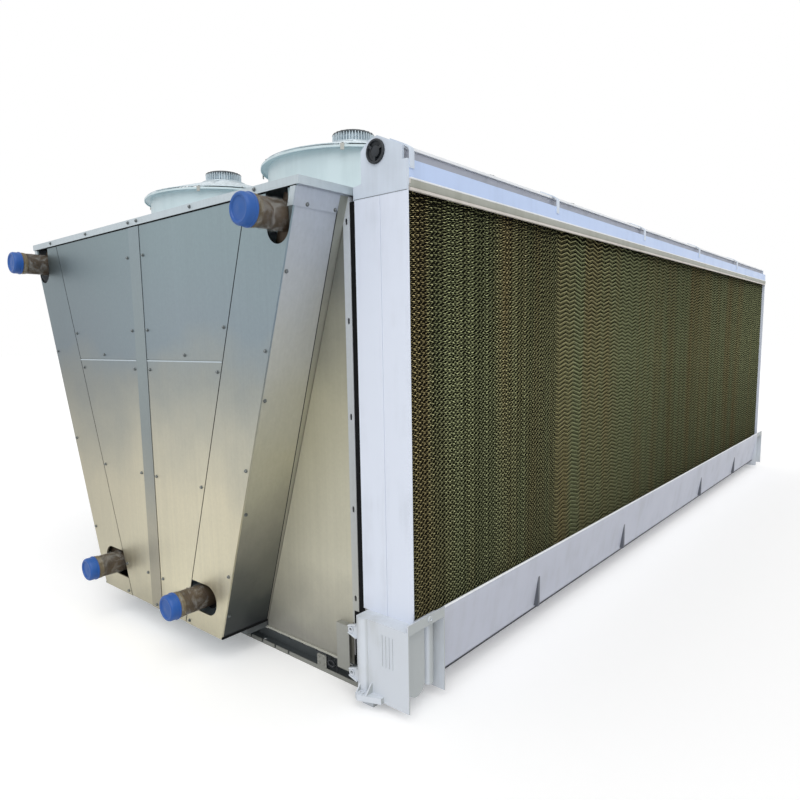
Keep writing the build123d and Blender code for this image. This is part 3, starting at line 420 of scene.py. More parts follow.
patchy = add(tree, "MapRange", {0: fibres, 1: 0.3, 2: 0.7, 3: 0.70, 4: 1.15})
# Darker towards the far end and towards the foot.
far = add(tree, "MapRange", {0: place.outputs["Y"], 1: -2.9, 2: 0.0, 3: 1.0, 4: 0.50})
low = add(tree, "MapRange", {0: place.outputs["Z"], 1: 0.35, 2: 1.35, 3: 0.50, 4: 1.0})
far_low_darkening = add(tree, "Math", {0: far, 1: low}, operation="MULTIPLY")
patchy = add(tree, "Math", {0: patchy, 1: far_low_darkening}, operation="MULTIPLY")
paper_tan = add(tree, "Mix", {0: 1.0, 6: tan, 7: patchy}, data_type="RGBA", blend_type="MULTIPLY")
paper = add(tree, "Mix", {0: lit_front, 6: cell_shade, 7: paper_tan}, data_type="RGBA")
feed(tree, shader, {"Base Color": paper, "Roughness": 0.85, "IOR": 1.45, "Specular IOR Level": 0.15})
print("pad face at x =", round(PAD_FACE, 3))

# %% [markdown]
# ## Dress the CAD nodes
# Every CAD node keeps its shape and gets the finish of what it is. A fine bevel rounds the
# sharp CAD edges a little, as bending and moulding do, so that they catch the light. It is a
# modifier, so the CAD mesh itself stays as it was.

# %% Finishes for the frame
DRESS = {
    end_sheet: "front_end_wall front_side_strips front_upper_panels front_access_panels",
    post_sheet: "front_center_post",
    side_sheet_shade_sheen: "side_covers rear_end_panel plenum_flashing",
    infill_sheet: "infill_panels",
    top_sheet: "end_top_covers fan_decks bottom_tray",
    channel_steel_lit_top: "slotted_channels",
    box_steel: "corner_box_cover",
    base_steel: "base_cross_beams base_sills",
    fin_stock: "left_coil right_coil",
    powder_coat: "fan_shrouds",
    bright_wire: "fan_guards",
    cast_motor: "fan_motors",
    blade_nylon: " ".join(f"fan_rotor_{n + 1}" for n in range(10)),
    primed_pipe: "header_pipes",
    blue_polythene: "pipe_caps",
    post_pvc: "pad_posts",
    cap_pvc: "top_end_caps",
    hood_pvc: "distribution_hood fascia_clips",
    sky_tinted_fascia_pvc: "fascia",
    lip_pvc: "pad_top_holder",
    pipe_pvc: "distribution_pipe",
    plug_rubber: "pipe_plugs",
    pad_paper: "evaporative_pads",
    trough_pvc: "sump_troughs",
    sump_cap_pvc: "sump_end_caps",
    gusset_pvc: "sump_gussets",
}
SOFT_EDGES = {"pad_posts": 1.5, "top_end_caps": 6, "distribution_hood": 3, "fascia": 2, "sump_end_caps": 5,
              "sump_troughs": 4, "corner_box_cover": 3, "end_top_covers": 2, "front_upper_panels": 1.5,
              "front_access_panels": 1.5, "front_side_strips": 1.5, "front_center_post": 1.5,
              "pad_top_holder": 2, "sump_gussets": 2}

for finish, names in DRESS.items():
    for name in names.split():
        slots = frame["nodes"][name].data.materials
        slots.clear()
        slots.append(finish)
for name, millimetres in SOFT_EDGES.items():
    rounding = frame["nodes"][name].modifiers.new("soft_edges", "BEVEL")
    rounding.width = millimetres / 1000
    rounding.segments = 2
    rounding.limit_method = "ANGLE"
    rounding.angle_limit = math.radians(40)
    rounding.use_clamp_overlap = True
undressed = [name for name, node in frame["nodes"].items() if len(node.data.materials) != 1]
print("nodes dressed:", len(frame["nodes"]), "left bare:", undressed)

# %% [markdown]
# ## Tools for small pieces
# Three shop operations make nearly every small piece: turning a profile on a lathe, sweeping
# a section along a bent line, and cutting a plate to an outline. Each adds its faces to one
# mesh, so many like pieces can share a single object.

# %% Lathe, sweep and plate
def facing(at, out):
    """A place at a point whose own z axis points out."""
    return Matrix.Translation(at) @ Vector(out).to_track_quat("Z", "Y").to_matrix().to_4x4()


def stitch(bm, rings, closed):
    """Joins rings of corners into a skin; a ring of one corner closes to a point."""
    for low, high in zip(rings, rings[1:]):
        count = max(len(low), len(high))
        for i in range(count if closed else count - 1):
            j = (i + 1) % count
            corners = [low[i % len(low)], low[j % len(low)], high[j % len(high)], high[i % len(high)]]
            bm.faces.new(list(dict.fromkeys(corners)))


def circle(count):
    """Evenly spaced points (x, y) on a circle of radius one."""
    return [(math.cos(math.tau * i / count), math.sin(math.tau * i / count)) for i in range(count)]


def turned(bm, profile, place, sides=24, rib=0.0):
    """Turns (radius, height) points about the place's z axis; rib sinks every second pair of corners."""
    rings = []
    for radius, height in profile:
        ring = []
        for i, (x, y) in enumerate(circle(sides if radius > 0 else 1)):
            reach = radius * (1 - rib * (i // 2 % 2))
            ring.append(bm.verts.new(place @ Vector((reach * x, reach * y, height))))
        rings.append(ring)
    stitch(bm, rings, True)


def swept(bm, points, section, side=None, closed=False):
    """Sweeps a section of (across, up) corners along points; side fixes the across direction."""
    rings = []
    for i, point in enumerate(points):
        ahead = points[(i + 1) % len(points)] if closed or i + 1 < len(points) else point
        behind = points[i - 1] if closed or i else point
        along = (ahead - behind).normalized()
        across = side or along.cross(Vector((0, 0, 1))).normalized()
        lift = across.cross(along)
        rings.append([bm.verts.new(point + across * a + lift * b) for a, b in section])
    if closed:
        rings.append(rings[0])
    else:
        bm.faces.new(rings[0])
        bm.faces.new(rings[-1])
    stitch(bm, rings, True)


def plate(bm, outline, thick, place):
    """Cuts a plate to an outline of (x, y) corners in the place's own plane."""
    rings = [[bm.verts.new(place @ Vector((x, y, level))) for x, y in outline] for level in (0, thick)]
    bm.faces.new(rings[0])
    bm.faces.new(rings[1])
    stitch(bm, rings, True)


def panel(bm, left, right, low, high, thick, place):
    """Cuts a four-cornered plate."""
    plate(bm, [(left, low), (right, low), (right, high), (left, high)], thick, place)


def piece(name, bm, finish, body="cabinet", instead=(), edge=40):
    """Turns the mesh being built into an object that rides on a body."""
    bmesh.ops.recalc_face_normals(bm, faces=bm.faces)
    mesh = bpy.data.meshes.new(name)
    bm.to_mesh(mesh)
    bm.free()
    mesh.materials.append(finish)
    mesh.shade_smooth()
    mesh.set_sharp_from_angle(angle=math.radians(edge))
    obj = bpy.data.objects.new(name, mesh)
    scene.collection.objects.link(obj)
    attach(obj, body)
    if instead:
        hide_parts(*instead)
    mesh.calc_loop_triangles()
    print(name, len(mesh.loop_triangles), "triangles")
    return obj


def round_bar(radius, sides=6):
    """The section of a round bar or wire."""
    return [(radius * x, radius * y) for x, y in circle(sides)]


def flat_bar(wide, thick):
    """The section of a flat strip."""
    return [(-wide / 2, -thick / 2), (wide / 2, -thick / 2), (wide / 2, thick / 2), (-wide / 2, thick / 2)]


def bar(bm, start, stop, wide, thick, side):
    """A straight flat strip from start to stop."""
    swept(bm, [Vector(start), Vector(stop)], flat_bar(wide, thick), side)


print("tools ready: turned, swept, plate")

# %% [markdown]
# ## Screws
# The sheets are held by self-drilling screws with a hexagon head on a washer face. On the real
# end wall they follow a plain rule: two columns beside the middle post, one along each strip,
# and a row along the sill and the rail. Placing them by that rule, not one by one, keeps them
# where a fitter would drive them.

# %% Screws in the end walls and the skirts
FACE_FOOT, SILL, LEAN = 0.564, 0.130, 0.32615
END_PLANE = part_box("front_access_panels")[0][1]
REAR_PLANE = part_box("rear_end_panel")[1][1]
SIDE_OUT = Vector((1, 0, -LEAN)).normalized()
SLOPE = math.hypot(1, LEAN)


def face_x(z):
    """Half the width of the V at a height."""
    return FACE_FOOT + LEAN * (z - SILL)


def screw(bm, at, out, size=0.0085):
    """A washer-faced hexagon head, size from its middle to the washer's rim."""
    place = facing(at, out)
    turned(bm, [(size, 0), (size, size * 0.18), (size * 0.72, size * 0.3)], place, 12)
    turned(bm, [(size * 0.7, size * 0.2), (size * 0.7, size * 0.75), (size * 0.55, size * 0.9),
                (0, size * 0.9)], place, 6)


bm = bmesh.new()
spots = [(side * 0.074, z) for side in (-1, 1) for z in (0.305, 0.833, 1.361, 1.551, 1.904)]
spots += [(side * (face_x(z) - 0.326), z) for side in (-1, 1) for z in (0.305, 0.833, 1.361, 1.550)]
spots += [(x, 0.150) for x in (-0.30, 0.0, 0.30)] + [(side * 0.39, 1.432) for side in (-1, 1)]
spots += [(side * (face_x(z) - 0.022), z) for side in (-1, 1) for z in (0.45, 0.95, 1.45)]
for x, z in spots:
    proud = 0.002 if abs(x) < 0.05 else 0.0
    screw(bm, (x, END_PLANE - proud, z), (0, -1, 0))
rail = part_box("end_top_covers")[0][1]
for x in (-0.95, -0.5, -0.04, 0.04, 0.5, 0.95):
    screw(bm, (x, rail, 2.066), (0, -1, 0))
for side in (-1, 1):
    out = Vector((side * SIDE_OUT.x, 0, SIDE_OUT.z))
    for y in (-3.282, -3.140):
        screw(bm, Vector((side * face_x(1.990), y, 1.990)) + out * 0.003, out)
    for z in (0.25, 0.75, 1.25, 1.75):
        screw(bm, (side * face_x(z), -3.325, z), out)
for x, z in [(side * (face_x(z) - 0.03), z) for side in (-1, 1) for z in (0.3, 0.8, 1.3, 1.8)]:
    screw(bm, (x, REAR_PLANE, z), (0, 1, 0))
piece("cabinet_screws", bm, plated_screw)

# %% [markdown]
# ## Joints, hems and skirts
# The end sheets do not touch: a black strip in each joint, beside the middle post, along the
# slanted strips, under the rail and at the foot of the sides, is the painted shadow in that gap.
# The access sheets end in a folded hem that catches the light. By the header end a narrow skirt
# laps the top of each side sheet, and a flap closes the corner beside each upper pipe hole. All
# are thin strips, so they are swept or cut flat.

# %% Shadow strips, hems, skirts and flaps
RAIL_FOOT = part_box("end_top_covers")[0][2]
ACCESS_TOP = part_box("front_access_panels")[1][2]
ALONG_X, ALONG_Y = Vector((1, 0, 0)), Vector((0, 1, 0))
UPPER_HOLE = (1.012, 1.142)
SKIRT_FOOT, SHEET_TOP, SIDE_END = 1.979, 2.045, -3.085


def on_side(side, z, y=0.0):
    """A place on a leaning side, with x along the machine, y up the slope and z outwards."""
    up_slope = Vector((side * LEAN, 0, 1)).normalized()
    out = Vector((side, 0, -LEAN)).normalized()
    along = up_slope.cross(out)
    turn = Matrix((along, up_slope, out)).transposed().to_4x4()
    return Matrix.Translation(Vector((side * face_x(z), y, z))) @ turn


def upright(y):
    """A place in an end plane, with x across, y up and z out of the header end."""
    return Matrix(((1, 0, 0, 0), (0, 0, -1, y), (0, 1, 0, 0), (0, 0, 0, 1)))


# The black strips in the joints are painted shadow in each gap.
shadow_strips, hems, skirts = bmesh.new(), bmesh.new(), bmesh.new()
under_rail, hem = RAIL_FOOT - 0.003, ACCESS_TOP - 0.003
sunk, proud = END_PLANE + 0.0025, END_PLANE - 0.001
for side in (-1, 1):
    for low, high in ((0.0505, 0.0505), (face_x(SILL) - 0.300, face_x(under_rail) - 0.300)):
        bar(shadow_strips, (side * low, sunk, SILL), (side * high, sunk, under_rail), 0.006, 0.002, ALONG_X)
    bar(shadow_strips, (side * UPPER_HOLE[1], proud, under_rail), (side * face_x(under_rail), proud, under_rail),
        0.002, 0.006, ALONG_Y)
    foot = side * (face_x(SILL) + 0.003)
    bar(shadow_strips, (foot, END_PLANE, SILL + 0.005), (foot, SIDE_END, SILL + 0.005), 0.006, 0.010, ALONG_X)
    bar(hems, (side * 0.053, proud, hem), (side * (face_x(ACCESS_TOP) - 0.304), proud, hem),
        0.002, 0.006, ALONG_Y)
    plate(skirts, [(-0.109, 0.0), (0.100, 0.0), (0.109, 0.010), (0.109, 0.070), (-0.109, 0.070)], 0.004,
          on_side(side, SKIRT_FOOT, -3.236))
    flap = ((SKIRT_FOOT, 0.030), (SKIRT_FOOT, 0.0), (SHEET_TOP, 0.0), (SHEET_TOP, 0.030))
    plate(hems, [(side * (face_x(z) - inset), z) for z, inset in flap], 0.003, upright(END_PLANE))
bar(shadow_strips, (-UPPER_HOLE[0], proud, under_rail), (UPPER_HOLE[0], proud, under_rail), 0.002, 0.006, ALONG_Y)
piece("joint_painted_shadows", shadow_strips, black_joint_and_shade)
piece("access_hems", hems, top_sheet)
piece("side_skirts", skirts, side_sheet_shade_sheen)

# %% [markdown]
# ## Corner of the pad module
# A black strip in the gap between the slotted channel and the pad post, and a wider one in the
# corner behind the box, are painted shade in these dark gaps. The infill sheet laps over the edge
# of the side sheet in a narrow wedge, with a black strip beside it as the painted shadow of the
# seam, and a fine dark joint shows where the end cap sits on the post.

# %% Painted shade strips, laps and cap joints
channel_low, channel_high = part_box("slotted_channels")
post_low, post_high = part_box("pad_posts")
LAP_FOOT, LAP_TOP, SEAM = 0.004, 0.042, 0.003

shade_and_joints, laps = bmesh.new(), bmesh.new()
tall = (channel_high[2] - SILL) * SLOPE
# Black strips in the gaps and beside the lap are painted shade; the bar at the cap is a dark joint.
for end, y in ((1, post_low[1]), (-1, post_high[1])):
    panel(shade_and_joints, channel_high[0] - 0.001, post_low[0] + 0.001, channel_low[2], post_high[2], 0.003,
          upright(y + (0.006 if end > 0 else 0.0)))
    panel(shade_and_joints, 1.170, 1.262, SILL, 0.345, 0.002, upright(y + (0.0 if end > 0 else 0.002)))
    beside = on_side(1, SILL, y)
    lap = [(-LAP_FOOT, 0.0), (0.004, 0.0), (0.004, tall), (-LAP_TOP, tall)]
    plate(laps, [(x * end, z) for x, z in lap], 0.002, beside)
    seam = [(-LAP_FOOT - SEAM, 0.0), (0.0, 0.0), (0.0, tall), (-LAP_TOP - SEAM, tall)]
    plate(shade_and_joints, [(x * end, z) for x, z in seam], 0.001, beside)
    joint, skin = post_high[2] + 0.003, y - 0.0002 * end
    bar(shade_and_joints, (post_low[0], skin, joint), (post_high[0], skin, joint), 0.0016, 0.0010, ALONG_Y)
piece("corner_shade_and_joints", shade_and_joints, black_joint_and_shade)
piece("infill_laps", laps, lap_sheet)

# %% [markdown]
# ## Base fittings
# The front base section is an open channel. Its lower flange catches the light at the ground and
# is notched where the section was tacked. A light hem runs along its top edge under the infill
# sheet, a splice plate joins two lengths, and an oval rubber gland lets a cable pass.

# %% Base hem, splice plate and gland
beam_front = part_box("base_cross_beams")[0][1]
SPLICE_X, SPLICE_Z, GLAND_X, GLAND_Z = 0.955, 0.052, 1.017, 0.058

bm = bmesh.new()
bar(bm, (0.53, beam_front - 0.002, 0.100), (1.07, beam_front - 0.002, 0.100), 0.006, 0.010, ALONG_Y)
piece("base_hem", bm, channel_steel_lit_top)

bm = bmesh.new()
notches = [-FACE_FOOT, 0.43, 0.52, 0.62, 0.72, 1.222]
for left, right in zip(notches, notches[1:]):
    bar(bm, (left + 0.006, beam_front - 0.001, 0.011), (right - 0.006, beam_front - 0.001, 0.011),
        0.004, 0.020, ALONG_Y)
piece("base_flange", bm, box_steel)

bm = bmesh.new()
plate(bm, [(-0.029, -0.029), (0.029, -0.029), (0.029, 0.022), (0.022, 0.029), (-0.022, 0.029),
           (-0.029, 0.022)], 0.005, facing((SPLICE_X, beam_front, SPLICE_Z), (0, -1, 0)))
for dx in (-0.015, 0.015):
    for dz in (-0.015, 0.015):
        screw(bm, (SPLICE_X + dx, beam_front - 0.005, SPLICE_Z + dz), (0, -1, 0), 0.006)
piece("base_splice", bm, box_steel)

bm = bmesh.new()
ring = [Vector((GLAND_X + 0.020 * x, beam_front - 0.003, GLAND_Z + 0.013 * z)) for x, z in circle(20)]
swept(bm, ring, round_bar(0.005), ALONG_Y, True)
for x in (0.984, 1.050):
    bar(bm, (x, beam_front + 0.002, 0.004), (x, beam_front + 0.002, 0.096), 0.004, 0.004, ALONG_X)
piece("base_gland", bm, plug_rubber)

# %% [markdown]
# ## Fan guards
# A guard keeps hands and birds out of the blades: rings of wire on thin spokes, and four flat
# arms that also carry the motor. Curves with a bevel would do, but sweeping the section
# directly gives a clean, light mesh. The real rings are 20 mm apart; here they stand wider so
# that they can be told apart in the picture. A small hook at the foot of each arm grips the brim.

# %% Wire guards
FANS = [Vector(joint["pos_m"]) for joint in frame["joints"]]
seat_low, seat_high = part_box("fan_guards")
GUARD_FOOT_Z, GUARD_SEAT_Z = seat_low[2], seat_high[2]
BRIM, SEAT = 0.481, 0.140
RINGS, SPOKES, ARMS, ARM_TURN = 12, 16, 4, math.radians(38)


def guard_height(radius):
    """Height of the guard's cone at a radius."""
    return GUARD_FOOT_Z + 0.006 + (GUARD_SEAT_Z - 0.010 - GUARD_FOOT_Z) * (BRIM - radius) / (BRIM - SEAT)


def around(centre, radius, z, count):
    """Points on a level circle."""
    return [Vector((centre.x + radius * x, centre.y + radius * y, z)) for x, y in circle(count)]


bm, hooks = bmesh.new(), bmesh.new()
for fan in FANS:
    for n in range(RINGS):
        radius = SEAT + (BRIM - 0.012 - SEAT) * (n + 1) / RINGS
        swept(bm, around(fan, radius, guard_height(radius), 48), round_bar(0.0022, 5), None, True)
    for inner, outer in zip(around(fan, SEAT - 0.01, guard_height(SEAT - 0.01), SPOKES),
                            around(fan, BRIM - 0.010, guard_height(BRIM - 0.010), SPOKES)):
        swept(bm, [inner, outer], round_bar(0.003, 5))
    for n in range(ARMS):
        turn = ARM_TURN + math.tau * n / ARMS
        out = Vector((math.cos(turn), math.sin(turn), 0))
        stops = [(SEAT - 0.012, GUARD_SEAT_Z - 0.003), (SEAT + 0.02, GUARD_SEAT_Z - 0.006),
                 (BRIM - 0.035, GUARD_FOOT_Z + 0.008), (BRIM - 0.025, GUARD_FOOT_Z + 0.004),
                 (BRIM - 0.001, GUARD_FOOT_Z + 0.003)]
        sideways = Vector((-out.y, out.x, 0))
        swept(bm, [Vector((fan.x, fan.y, z)) + out * r for r, z in stops], flat_bar(0.026, 0.005), sideways)
        hook = [Vector((fan.x, fan.y, GUARD_FOOT_Z + z)) + out * (BRIM + 0.002) for z in (0.005, -0.024)]
        swept(hooks, hook, flat_bar(0.018, 0.004), sideways)
    turned(bm, [(SEAT - 0.02, -0.008), (SEAT, -0.008), (SEAT, 0), (SEAT - 0.02, 0), (SEAT - 0.02, -0.008)],
           Matrix.Translation((fan.x, fan.y, GUARD_SEAT_Z)), 32)
piece("fan_guard_wires", bm, bright_wire, instead=["fan_guards"])
piece("guard_hooks", hooks, box_steel)

bm = bmesh.new()
for fan in FANS:
    for n in range(8):
        turn = math.tau * (n + 0.5) / 8 if n % 2 else math.tau * n / 8 + ARM_TURN
        out = Vector((math.cos(turn), math.sin(turn), 0))
        screw(bm, Vector((fan.x, fan.y, GUARD_FOOT_Z + 0.004)) + out * (BRIM - 0.014), (0, 0, 1), 0.009)
piece("guard_screws", bm, plated_screw)

# %% [markdown]
# ## Motors
# Each motor is a casting with fine upright cooling ribs and a thin dark cover on top. The ribs
# come straight off the lathe tool: every second pair of corners is sunk.

# %% Ribbed motors and covers
MOTOR_FOOT, MOTOR_TOP, MOTOR_RADIUS = GUARD_SEAT_Z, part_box("fan_motors")[1][2], 0.110

bm, covers = bmesh.new(), bmesh.new()
for fan in FANS:
    place = Matrix.Translation((fan.x, fan.y, MOTOR_FOOT))
    tall = MOTOR_TOP - MOTOR_FOOT
    edge = MOTOR_RADIUS - 0.004
    turned(bm, [(0.0, 0.0), (SEAT, 0.0), (SEAT, 0.006), (SEAT - 0.006, 0.009), (edge, 0.010)], place, 32)
    turned(bm, [(edge, 0.008), (MOTOR_RADIUS, 0.012), (MOTOR_RADIUS, tall - 0.012),
                (MOTOR_RADIUS - 0.006, tall - 0.008), (0.0, tall - 0.008)], place, 176, 0.14)
    turned(covers, [(edge, tall - 0.013), (MOTOR_RADIUS + 0.001, tall - 0.011),
                    (MOTOR_RADIUS - 0.002, tall - 0.004), (edge, tall - 0.003)], place, 88, 0.05)
    turned(covers, [(edge, tall - 0.008), (MOTOR_RADIUS - 0.014, tall), (0.05, tall - 0.001),
                    (0.046, tall - 0.005), (0.0, tall - 0.005)], place, 32)
piece("fan_motor_cans", bm, cast_motor, instead=["fan_motors"])
piece("fan_motor_covers", covers, blade_nylon)

# %% [markdown]
# ## Impellers
# Each impeller has five moulded blades, swept forward like sickles and twisted so that the
# air leaves evenly from hub to tip. A blade is a grid of points, from hub to tip and from
# leading to trailing edge, made twice a few millimetres apart and sewn at the rim.

# %% Twisted blades on their hubs
BLADES, BLADE_TIP, HUB_RADIUS, BLADE_THICK = 5, 0.430, 0.097, 0.006
rotor_low, rotor_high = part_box("fan_rotor_1")
BLADE_FOOT, HUB_TOP = rotor_low[2] + 0.004, rotor_high[2]


def blade(bm, place, steps=10, strips=6):
    """One twisted sickle blade about the place's z axis."""
    skins = []
    for lift in (0.0, BLADE_THICK):
        rows = []
        for i in range(steps + 1):
            share = i / steps
            radius = HUB_RADIUS - 0.006 + (BLADE_TIP - HUB_RADIUS + 0.006) * share
            chord = math.radians(50 - 16 * share)
            sweep = math.radians(-6 + 20 * share * share)
            rise = 0.088 - 0.046 * share
            row = []
            for j in range(strips + 1):
                across = j / strips
                turn = sweep + chord * (across - 0.5)
                height = lift + rise * across - 0.010 * math.sin(math.pi * across)
                corner = Vector((radius * math.cos(turn), radius * math.sin(turn), height))
                row.append(bm.verts.new(place @ corner))
            rows.append(row)
        skins.append(rows)
        stitch(bm, rows, False)
    for rim in (lambda rows: rows[0], lambda rows: rows[-1],
                lambda rows: [row[0] for row in rows], lambda rows: [row[-1] for row in rows]):
        stitch(bm, [rim(skins[0]), rim(skins[1])], False)


for n, fan in enumerate(FANS):
    bm = bmesh.new()
    foot = BLADE_FOOT + 0.014
    for b in range(BLADES):
        blade(bm, Matrix.Translation((fan.x, fan.y, foot)) @ Matrix.Rotation(math.tau * b / BLADES, 4, "Z"))
    tall = HUB_TOP - BLADE_FOOT
    turned(bm, [(0.0, 0.0), (0.04, 0.0), (0.085, 0.006), (HUB_RADIUS, 0.020), (HUB_RADIUS, tall - 0.012),
                (HUB_RADIUS - 0.008, tall - 0.001), (0.0, tall - 0.001)],
           Matrix.Translation((fan.x, fan.y, BLADE_FOOT)), 32)
    piece(f"impeller_{n + 1}", bm, blade_nylon, f"rotor_{n + 1}", [f"fan_rotor_{n + 1}"])

# %% [markdown]
# ## Pipe caps, tape and film
# Blue moulded caps close the four stubs. They are turned with a rolled rim and a dished end.
# The film is a loose sleeve, so its radius wanders with a smooth noise instead of being round.
# Behind the sheet a black ring around each pipe fills its hole with painted shade.

# %% Caps on the stubs
cap_low, cap_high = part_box("pipe_caps")
CAP_BACK, CAP_NOSE, CAP_RADIUS = cap_high[1], cap_low[1], 0.0629
PIPE_RADIUS, HOLE_SHADE_RADIUS = 0.05715, 0.073
UPPER_STUB = (cap_high[0] - CAP_RADIUS, cap_high[2] - CAP_RADIUS)
LOWER_STUB = (0.4005, cap_low[2] + CAP_RADIUS)
STUBS = [(side * x, z) for side in (-1, 1) for x, z in (UPPER_STUB, LOWER_STUB)]

caps, tapes, films, hole_shade_rings = bmesh.new(), bmesh.new(), bmesh.new(), bmesh.new()
for x, z in STUBS:
    # A black ring behind the sheet: painted shade in the hole.
    turned(hole_shade_rings, [(PIPE_RADIUS - 0.002, 0.0), (HOLE_SHADE_RADIUS, 0.0), (HOLE_SHADE_RADIUS, 0.004),
                     (PIPE_RADIUS - 0.002, 0.004)], facing((x, END_PLANE + 0.060, z), (0, -1, 0)), 40)
    place = facing((x, CAP_BACK, z), (0, -1, 0))
    tall = CAP_BACK - CAP_NOSE
    turned(caps, [(PIPE_RADIUS, 0.0), (CAP_RADIUS, 0.0), (CAP_RADIUS, 0.006), (CAP_RADIUS - 0.003, 0.008),
                  (CAP_RADIUS - 0.003, tall - 0.011), (CAP_RADIUS - 0.006, tall - 0.004),
                  (CAP_RADIUS - 0.012, tall), (0.044, tall - 0.001), (0.041, tall - 0.005),
                  (0.020, tall - 0.0055), (0.010, tall - 0.003), (0.0, tall - 0.003)], place, 40)
    turned(tapes, [(PIPE_RADIUS, -0.026), (PIPE_RADIUS + 0.0022, -0.025), (PIPE_RADIUS + 0.003, -0.012),
                   (PIPE_RADIUS + 0.0022, 0.0)], place, 40)
    rings = []
    for i in range(13):
        y = CAP_BACK + 0.004 + (END_PLANE - CAP_BACK + 0.004) * i / 12
        ring = []
        for across, up in circle(40):
            crease = noise.noise(Vector((x * 7 + 2.2 * across, z * 5 + 2.2 * up, y * 30)))
            loose = PIPE_RADIUS + 0.0045 + 0.0030 * crease
            ring.append(films.verts.new((x + loose * across, y, z + loose * up)))
        rings.append(ring)
    stitch(films, rings, True)
piece("blue_pipe_caps", caps, blue_polythene, instead=["pipe_caps"])
piece("pipe_tapes", tapes, crepe_tape)
piece("pipe_films", films, stretch_film)
piece("pipe_hole_shade_rings", hole_shade_rings, black_joint_and_shade)

# %% [markdown]
# ## Pads
# A pad is a stack of corrugated sheets on edge. Seen from the front, each sheet's edge is a wavy
# upright line. The waves of neighbouring sheets are not in step: they climb for a few sheets and
# then fall again, which draws the zigzag rows seen on the wall. In the nearest pad each sheet is
# more than half a wave off the one before, so its rows break up into a steep herringbone.
# Modelling the front centimetre of every sheet gives real folds that shade themselves at any
# angle. The real sheets are 7 mm apart; they are drawn at twice that, so that the folds still
# show from four metres.

# %% Corrugated pad bays
SHEET_PITCH, WAVE, CELL_DEPTH, BAYS = 0.014, 0.0223, 0.010, 5
NEAR_STEP, FAR_STEP, RUN_LENGTHS = 3.6, 1.05, (3, 5, 3, 4, 6, 3, 4, 3, 5, 4)

bay = (pad_high.y - pad_low.y) / BAYS
sheets = int(bay / SHEET_PITCH)
climb = [(-1) ** n for n, run in enumerate(RUN_LENGTHS * 3) for _ in range(run)][:sheets]
levels = np.arange(pad_low.z, pad_high.z, WAVE / 6)


def corrugated(name, step):
    """A pad whose sheets follow each other by a step of the wave."""
    phase = step * np.cumsum(climb)[:, None, None]
    number = np.arange(sheets)[:, None, None]
    height = levels[None, :, None]
    depth = np.array([0.0, CELL_DEPTH])[None, None, :]
    wave = np.sin(math.tau * (height + 0.8 * depth) / WAVE + phase)
    corners = np.zeros((sheets, len(levels), 2, 3))
    corners[..., 0] = PAD_FACE - depth
    corners[..., 1] = (number + 0.5) * bay / sheets + 0.46 * SHEET_PITCH * wave
    corners[..., 2] = height
    first = (np.arange(sheets)[:, None] * len(levels) + np.arange(len(levels) - 1)[None, :]).ravel() * 2
    quads = np.stack([first, first + 1, first + 3, first + 2], axis=1)
    core_x = (pad_low.x, PAD_FACE - CELL_DEPTH)
    core = [(x, y, z) for x in core_x for y in (0.001, bay - 0.001) for z in (pad_low.z, pad_high.z)]
    base = sheets * len(levels) * 2
    core_faces = [[base + c for c in face] for face in
                  ((0, 1, 3, 2), (4, 6, 7, 5), (0, 4, 5, 1), (2, 3, 7, 6), (0, 2, 6, 4), (1, 5, 7, 3))]
    mesh = bpy.data.meshes.new(name)
    mesh.from_pydata(corners.reshape(-1, 3).tolist() + core, [], quads.tolist() + core_faces)
    mesh.materials.append(pad_paper)
    mesh.calc_loop_triangles()
    return mesh


near_pad, far_pad = corrugated("staggered_pad", NEAR_STEP), corrugated("zigzag_pad", FAR_STEP)
for n in range(BAYS):
    pad = bpy.data.objects.new(f"pad_bay_{n + 1}", far_pad if n else near_pad)
    pad.location.y = pad_low.y + n * bay
    scene.collection.objects.link(pad)
    bpy.context.view_layer.update()
    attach(pad, "cabinet")
    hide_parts("evaporative_pads")
print(BAYS, "pads of", sheets, "sheets,", len(far_pad.loop_triangles), "triangles each")

# %% [markdown]
# ## Hood clips
# Five plastic clips hook over the eave of the hood and hold the fascia: a strap that follows
# the roof slope, rounds the edge and hangs down.

# %% Bent clips
clip_low, clip_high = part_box("fascia_clips")
CLIP_STARTS = [-3.071, -1.915, -0.685, 0.545, 1.775]
CLIP_WIDE, CLIP_THICK, CLIP_BEND = 0.026, 0.005, 0.020

strap_x = clip_high[0] - CLIP_THICK / 2
bends = [math.radians(turn) for turn in (15, 40, 65, 90)]
line = [(1.400, 2.2215), (1.440, 2.2030), (1.464, 2.1920)]
line += [(strap_x - CLIP_BEND + CLIP_BEND * math.sin(t), 2.163 + CLIP_BEND * math.cos(t)) for t in bends]
line += [(strap_x, 2.135), (strap_x, clip_low[2] + 0.004), (strap_x - 0.001, clip_low[2])]
bm = bmesh.new()
for start in CLIP_STARTS:
    middle = start + CLIP_WIDE / 2
    swept(bm, [Vector((x, middle, z)) for x, z in line], flat_bar(CLIP_WIDE, CLIP_THICK), ALONG_Y)
piece("bent_clips", bm, cap_pvc, instead=["fascia_clips"])

# %% [markdown]
# ## Strips along the hood
# The lip over the pads is a cream bead with a strip above it, which fills the groove of the CAD
# profile; the strip's olive grey is painted shade under the fascia. A white bead closes the foot
# of the fascia, a black strip along its top is painted shadow, and a grey strip under the eave is
# painted shade.

# %% Lip, bead and painted shade strips
lip_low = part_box("pad_top_holder")[0]
fascia_low, fascia_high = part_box("fascia")
hood_low, hood_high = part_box("distribution_hood")


def along_hood(name, x, z, section, finish):
    """A strip of one section that runs the whole length of the hood."""
    bm = bmesh.new()
    swept(bm, [Vector((x, y, z)) for y in (hood_low[1] + 0.001, hood_high[1] - 0.001)], section, ALONG_X)
    piece(name, bm, finish)


